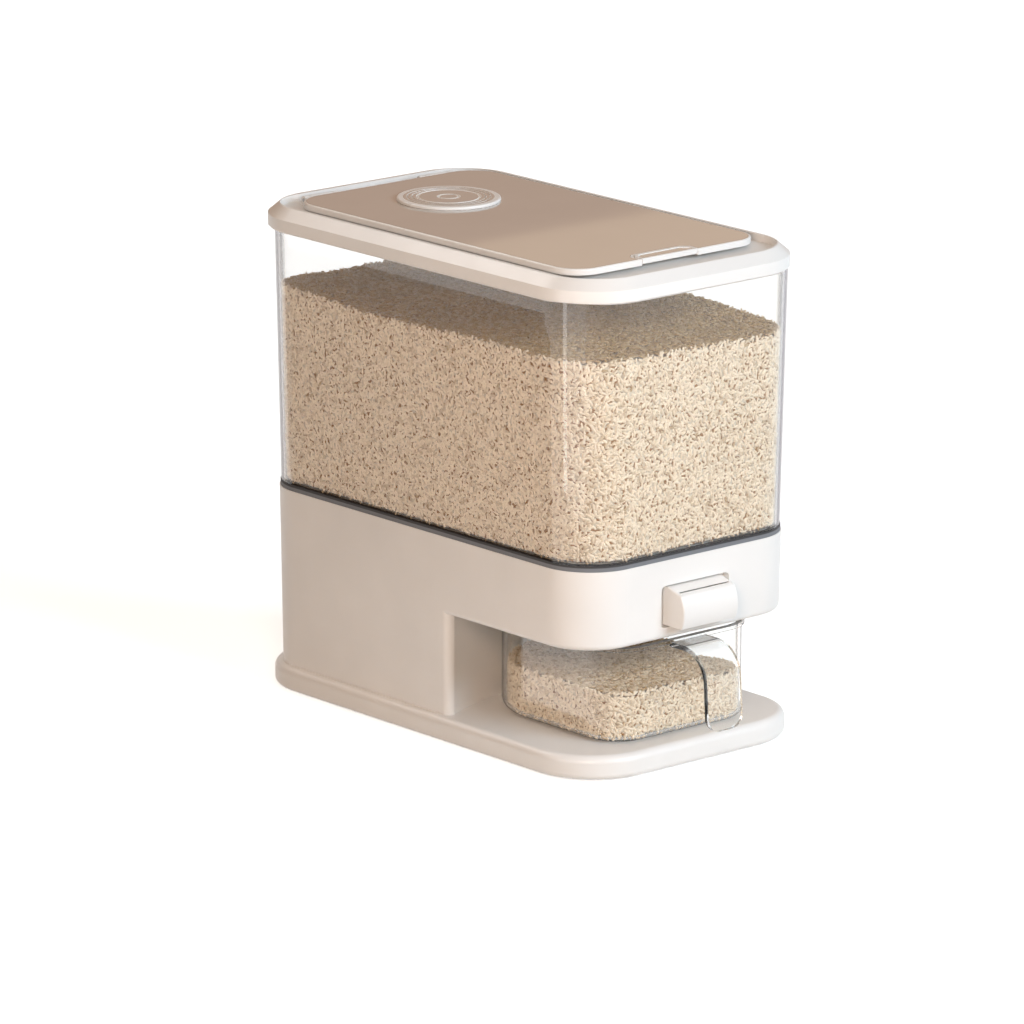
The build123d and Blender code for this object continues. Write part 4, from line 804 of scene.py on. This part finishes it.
class DISPENSER_OT_bin_rice(bpy.types.Operator):
    """Fills the bin with rice up to its level"""

    bl_idname = "dispenser.bin_rice"
    bl_label = "Rice in the bin"

    def execute(self, context):
        rice = context.scene.dispenser_rice
        pour(bin_filling(rice), rice, np.random.default_rng(rice.seed))
        return {"FINISHED"}


class DISPENSER_OT_cup_rice(bpy.types.Operator):
    """Puts rice in the measuring cup up to its level"""

    bl_idname = "dispenser.cup_rice"
    bl_label = "Rice in the cup"

    def execute(self, context):
        rice = context.scene.dispenser_rice
        pour(cup_filling(rice), rice, np.random.default_rng(rice.seed + 1))
        return {"FINISHED"}


class DISPENSER_OT_studio(bpy.types.Operator):
    """Sets up the floor, the light and the camera"""

    bl_idname = "dispenser.studio"
    bl_label = "Studio"

    def execute(self, context):
        studio = context.scene.dispenser_studio
        context.scene.view_settings.view_transform = "Standard"
        make_floor(studio)
        make_world(studio)
        make_lamps(studio)
        make_cards(studio)
        make_camera(studio)
        return {"FINISHED"}


# Studio, in metres from the middle of the dispenser's footprint

FLOOR_HALF = 6.0
# The paper's own glow grows between these distances, because the lamps don't reach the far floor
GLOW_FROM, GLOW_TO = 0.5, 2.0
GLOW_LEAST, GLOW_MOST = 0.68, 0.95
# The ambient light grows to its strength from above between these rises of the sky, 0 level and 1 overhead
SKY_LOW, SKY_HIGH = 0.1, 0.9
LAMP_AIM = Vector((0, 0, 0.14))
KEY_PLACE, KEY_SIZE = (0.55, -2.15, 1.15), (1.6, 0.8)
FILL_PLACE, FILL_SIZE = (-0.75, -0.75, 0.45), (0.3, 0.3)
# Cards for reflections: behind the lid, in two tones that meet at the split, beside the bin, high behind
LID_CARD_X, LID_CARD_Y, LID_CARD_SPLIT, LID_CARD_REACH = (-0.4, 1.4), 0.5, 0.430, 0.2
SIDE_CARD_X, SIDE_CARD_Y, SIDE_CARD_Z = -0.3, (0.05, 0.6), (0.002, 0.170)
BROW_CARD_X, BROW_CARD_Y, BROW_CARD_Z, BROW_CARD_STRENGTH = (-0.75, 0.25), 1.0, (0.9, 1.6), 6.0
# Strips round the front left corner: from and to in degrees from the front, and strength
STRIP_AWAY, STRIP_TALL = 0.62, 0.3
CORNER_STRIPS = {"strip_beside_corner": (-85, -78, 5.0), "strip_soft": (-78, -46, 2.2)}
CAMERA_AIM = Vector((-13.07, 6.10, 115.09)) * MM
SENSOR_WIDTH_MM = 36.0
CAMERA_CLIP = (0.1, 50.0)


def seen_directly(tree):
    """1 for camera, glossy and transmission rays, 0 for the light that falls on things."""
    path = add_node(tree, "ShaderNodeLightPath")
    total = path.outputs["Is Camera Ray"]
    for name in ("Is Glossy Ray", "Is Transmission Ray"):
        total = add_node(tree, "ShaderNodeMath", settings={"operation": "MAXIMUM"},
                         links={0: total, 1: path.outputs[name]}).outputs["Value"]
    return total


def make_floor(studio):
    """A seamless matte paper that shows white and keeps a soft shadow."""
    material, tree = new_material("paper_backdrop_matte")
    paper = add_node(tree, "ShaderNodeBsdfDiffuse", values={"Color": list(studio.paper)},
                     links={"Roughness": uneven(tree, size_mm=3.0, low=0.94, high=1.0)})
    place = add_node(tree, "ShaderNodeTexCoord")
    away = add_node(tree, "ShaderNodeVectorMath", settings={"operation": "LENGTH"},
                    links={"Vector": place.outputs["Object"]}).outputs["Value"]
    lift = add_node(tree, "ShaderNodeMapRange",
                    values={"From Min": GLOW_FROM, "From Max": GLOW_TO, "To Min": GLOW_LEAST,
                            "To Max": GLOW_MOST}, links={"Value": away}).outputs["Result"]
    strength = add_node(tree, "ShaderNodeMath", settings={"operation": "MULTIPLY"},
                        links={0: seen_directly(tree), 1: lift}).outputs["Value"]
    glow = add_node(tree, "ShaderNodeEmission", values={"Color": list(studio.background)},
                    links={"Strength": strength})
    both = add_node(tree, "ShaderNodeAddShader",
                    links={0: paper.outputs["BSDF"], 1: glow.outputs["Emission"]})
    add_node(tree, "ShaderNodeOutputMaterial", links={"Surface": both.outputs["Shader"]})
    half = FLOOR_HALF
    corners = [(-half, -half, 0), (half, -half, 0), (half, half, 0), (-half, half, 0)]
    mesh = bpy.data.meshes.new("floor")
    mesh.from_pydata(corners, [], [(0, 1, 2, 3)])
    mesh.materials.append(material)
    floor = bpy.data.objects.new("floor", mesh)
    bpy.context.scene.collection.objects.link(floor)


def make_world(studio):
    """A white surround for the eye, and a dimmer warm one for the light it gives."""
    world = bpy.data.worlds.new("studio")
    world.use_nodes = True
    tree = world.node_tree
    tree.nodes.clear()
    shown = add_node(tree, "ShaderNodeBackground",
                     values={"Color": list(studio.background), "Strength": 1.0})
    place = add_node(tree, "ShaderNodeTexCoord")
    height = add_node(tree, "ShaderNodeSeparateXYZ",
                      links={"Vector": place.outputs["Generated"]}).outputs["Z"]
    level = add_node(tree, "ShaderNodeMapRange",
                     values={"From Min": SKY_LOW, "From Max": SKY_HIGH, "To Min": studio.ambient,
                             "To Max": studio.ambient_above}, links={"Value": height}).outputs["Result"]
    light = add_node(tree, "ShaderNodeBackground", values={"Color": list(studio.ambient_tint)},
                     links={"Strength": level})
    both = add_node(tree, "ShaderNodeMixShader",
                    links={0: seen_directly(tree), 1: light.outputs["Background"],
                           2: shown.outputs["Background"]})
    add_node(tree, "ShaderNodeOutputWorld", links={"Surface": both.outputs["Shader"]})
    bpy.context.scene.world = world


def softbox(name, place, size, power, tint):
    """A rectangular lamp turned to the middle of the dispenser."""
    data = bpy.data.lights.new(name, "AREA")
    data.shape = "RECTANGLE"
    data.size, data.size_y = size
    data.energy = power
    data.color = tint[:3]
    lamp = bpy.data.objects.new(name, data)
    lamp.location = Vector(place)
    lamp.rotation_euler = (LAMP_AIM - lamp.location).to_track_quat("-Z", "Y").to_euler()
    bpy.context.scene.collection.objects.link(lamp)


def make_lamps(studio):
    """A large softbox in front, and a small near one whose light falls off along the left side."""
    softbox("key_softbox", KEY_PLACE, KEY_SIZE, studio.key_power, studio.key_tint)
    softbox("fill_box", FILL_PLACE, FILL_SIZE, studio.fill_power, studio.fill_tint)


def lit_card(name, ends, heights, colours, strength=1.0):
    """An upright lit card that only reflections see. Where two colours are given, they meet halfway up."""
    material, tree = new_material(name)
    place = add_node(tree, "ShaderNodeTexCoord")
    height = add_node(tree, "ShaderNodeSeparateXYZ",
                      links={"Vector": place.outputs["Generated"]}).outputs["Z"]
    middle, blend = 0.5, 0.005
    upper = add_node(tree, "ShaderNodeMapRange",
                     values={"From Min": middle - blend, "From Max": middle + blend},
                     links={"Value": height}).outputs["Result"]
    tone = add_node(tree, "ShaderNodeMix", settings={"data_type": "RGBA"},
                    values={MIX_A: list(colours[0]), MIX_B: list(colours[-1])},
                    links={0: upper}).outputs[MIX_OUT]
    glow = add_node(tree, "ShaderNodeEmission", values={"Strength": strength}, links={"Color": tone})
    add_node(tree, "ShaderNodeOutputMaterial", links={"Surface": glow.outputs["Emission"]})
    (start, end), (low, high) = ends, heights
    mesh = bpy.data.meshes.new(name)
    mesh.from_pydata([(*start, low), (*end, low), (*end, high), (*start, high)], [], [(0, 1, 2, 3)])
    mesh.materials.append(material)
    card = bpy.data.objects.new(name, mesh)
    for kind in ("camera", "diffuse", "transmission", "shadow", "volume_scatter"):
        setattr(card, f"visible_{kind}", False)
    bpy.context.scene.collection.objects.link(card)


def make_cards(studio):
    """Cards for the flap's gloss, the bin's left wall, the front left corner and the lid's sloping brow."""
    lid_card_z = (LID_CARD_SPLIT - LID_CARD_REACH, LID_CARD_SPLIT + LID_CARD_REACH)
    lit_card("card_behind_lid", [(x, LID_CARD_Y) for x in LID_CARD_X], lid_card_z,
             (studio.card_low, studio.card_high))
    lit_card("card_beside_bin", [(SIDE_CARD_X, y) for y in SIDE_CARD_Y], SIDE_CARD_Z, (studio.card_side,))
    for name, (start, end, strength) in CORNER_STRIPS.items():
        ends = [(STRIP_AWAY * math.sin(math.radians(a)), -STRIP_AWAY * math.cos(math.radians(a)))
                for a in (start, end)]
        lit_card(name, ends, (0.0, STRIP_TALL), (studio.background,), strength)
    lit_card("card_above_brow", [(x, BROW_CARD_Y) for x in BROW_CARD_X], BROW_CARD_Z, (studio.background,),
             BROW_CARD_STRENGTH)


def make_camera(studio):
    """A long lens at the photograph's angle."""
    data = bpy.data.cameras.new("camera")
    data.sensor_width = SENSOR_WIDTH_MM
    data.lens = studio.lens
    data.clip_start, data.clip_end = CAMERA_CLIP
    camera = bpy.data.objects.new("camera", data)
    a, e, r = studio.azimuth, studio.elevation, studio.roll
    back = Vector((math.sin(a) * math.cos(e), -math.cos(a) * math.cos(e), math.sin(e)))
    right = Vector((0, 0, 1)).cross(back).normalized()
    up = back.cross(right)
    turned_right = right * math.cos(r) + up * math.sin(r)
    turned_up = up * math.cos(r) - right * math.sin(r)
    matrix = Matrix((turned_right, turned_up, back)).transposed().to_4x4()
    matrix.translation = CAMERA_AIM + back * studio.distance
    camera.matrix_world = matrix
    bpy.context.scene.collection.objects.link(camera)
    bpy.context.scene.camera = camera


class DISPENSER_PT_panel(bpy.types.Panel):
    """Lists the dispenser's steps in the sidebar"""

    bl_idname = "DISPENSER_PT_panel"
    bl_label = "Rice dispenser"
    bl_space_type = "VIEW_3D"
    bl_region_type = "UI"
    bl_category = "Dispenser"

    def draw(self, context):
        for step in STEPS:
            self.layout.operator(step.bl_idname)


STEPS = (DISPENSER_OT_white_shell, DISPENSER_OT_flap, DISPENSER_OT_clear_pieces, DISPENSER_OT_soft_trim,
         DISPENSER_OT_inner_works, DISPENSER_OT_bin_rice, DISPENSER_OT_cup_rice, DISPENSER_OT_studio)
GROUPS = {"dispenser_finish": DispenserFinish, "dispenser_rice": DispenserRice,
          "dispenser_studio": DispenserStudio}
CLASSES = (*GROUPS.values(), *STEPS, DISPENSER_PT_panel)


def register():
    """Adds the classes and their settings to Blender."""
    for cls in CLASSES:
        bpy.utils.register_class(cls)
    for name, group in GROUPS.items():
        setattr(bpy.types.Scene, name, bpy.props.PointerProperty(type=group))


def unregister():
    """Takes them out again."""
    for name in GROUPS:
        delattr(bpy.types.Scene, name)
    for cls in reversed(CLASSES):
        bpy.utils.unregister_class(cls)


def main():
    """Runs every step in order."""
    register()
    for step in STEPS:
        group, name = step.bl_idname.split(".")
        if getattr(getattr(bpy.ops, group), name)() != {"FINISHED"}:
            raise RuntimeError(f"{step.bl_label} did not finish")


if __name__ == "__main__":
    main()
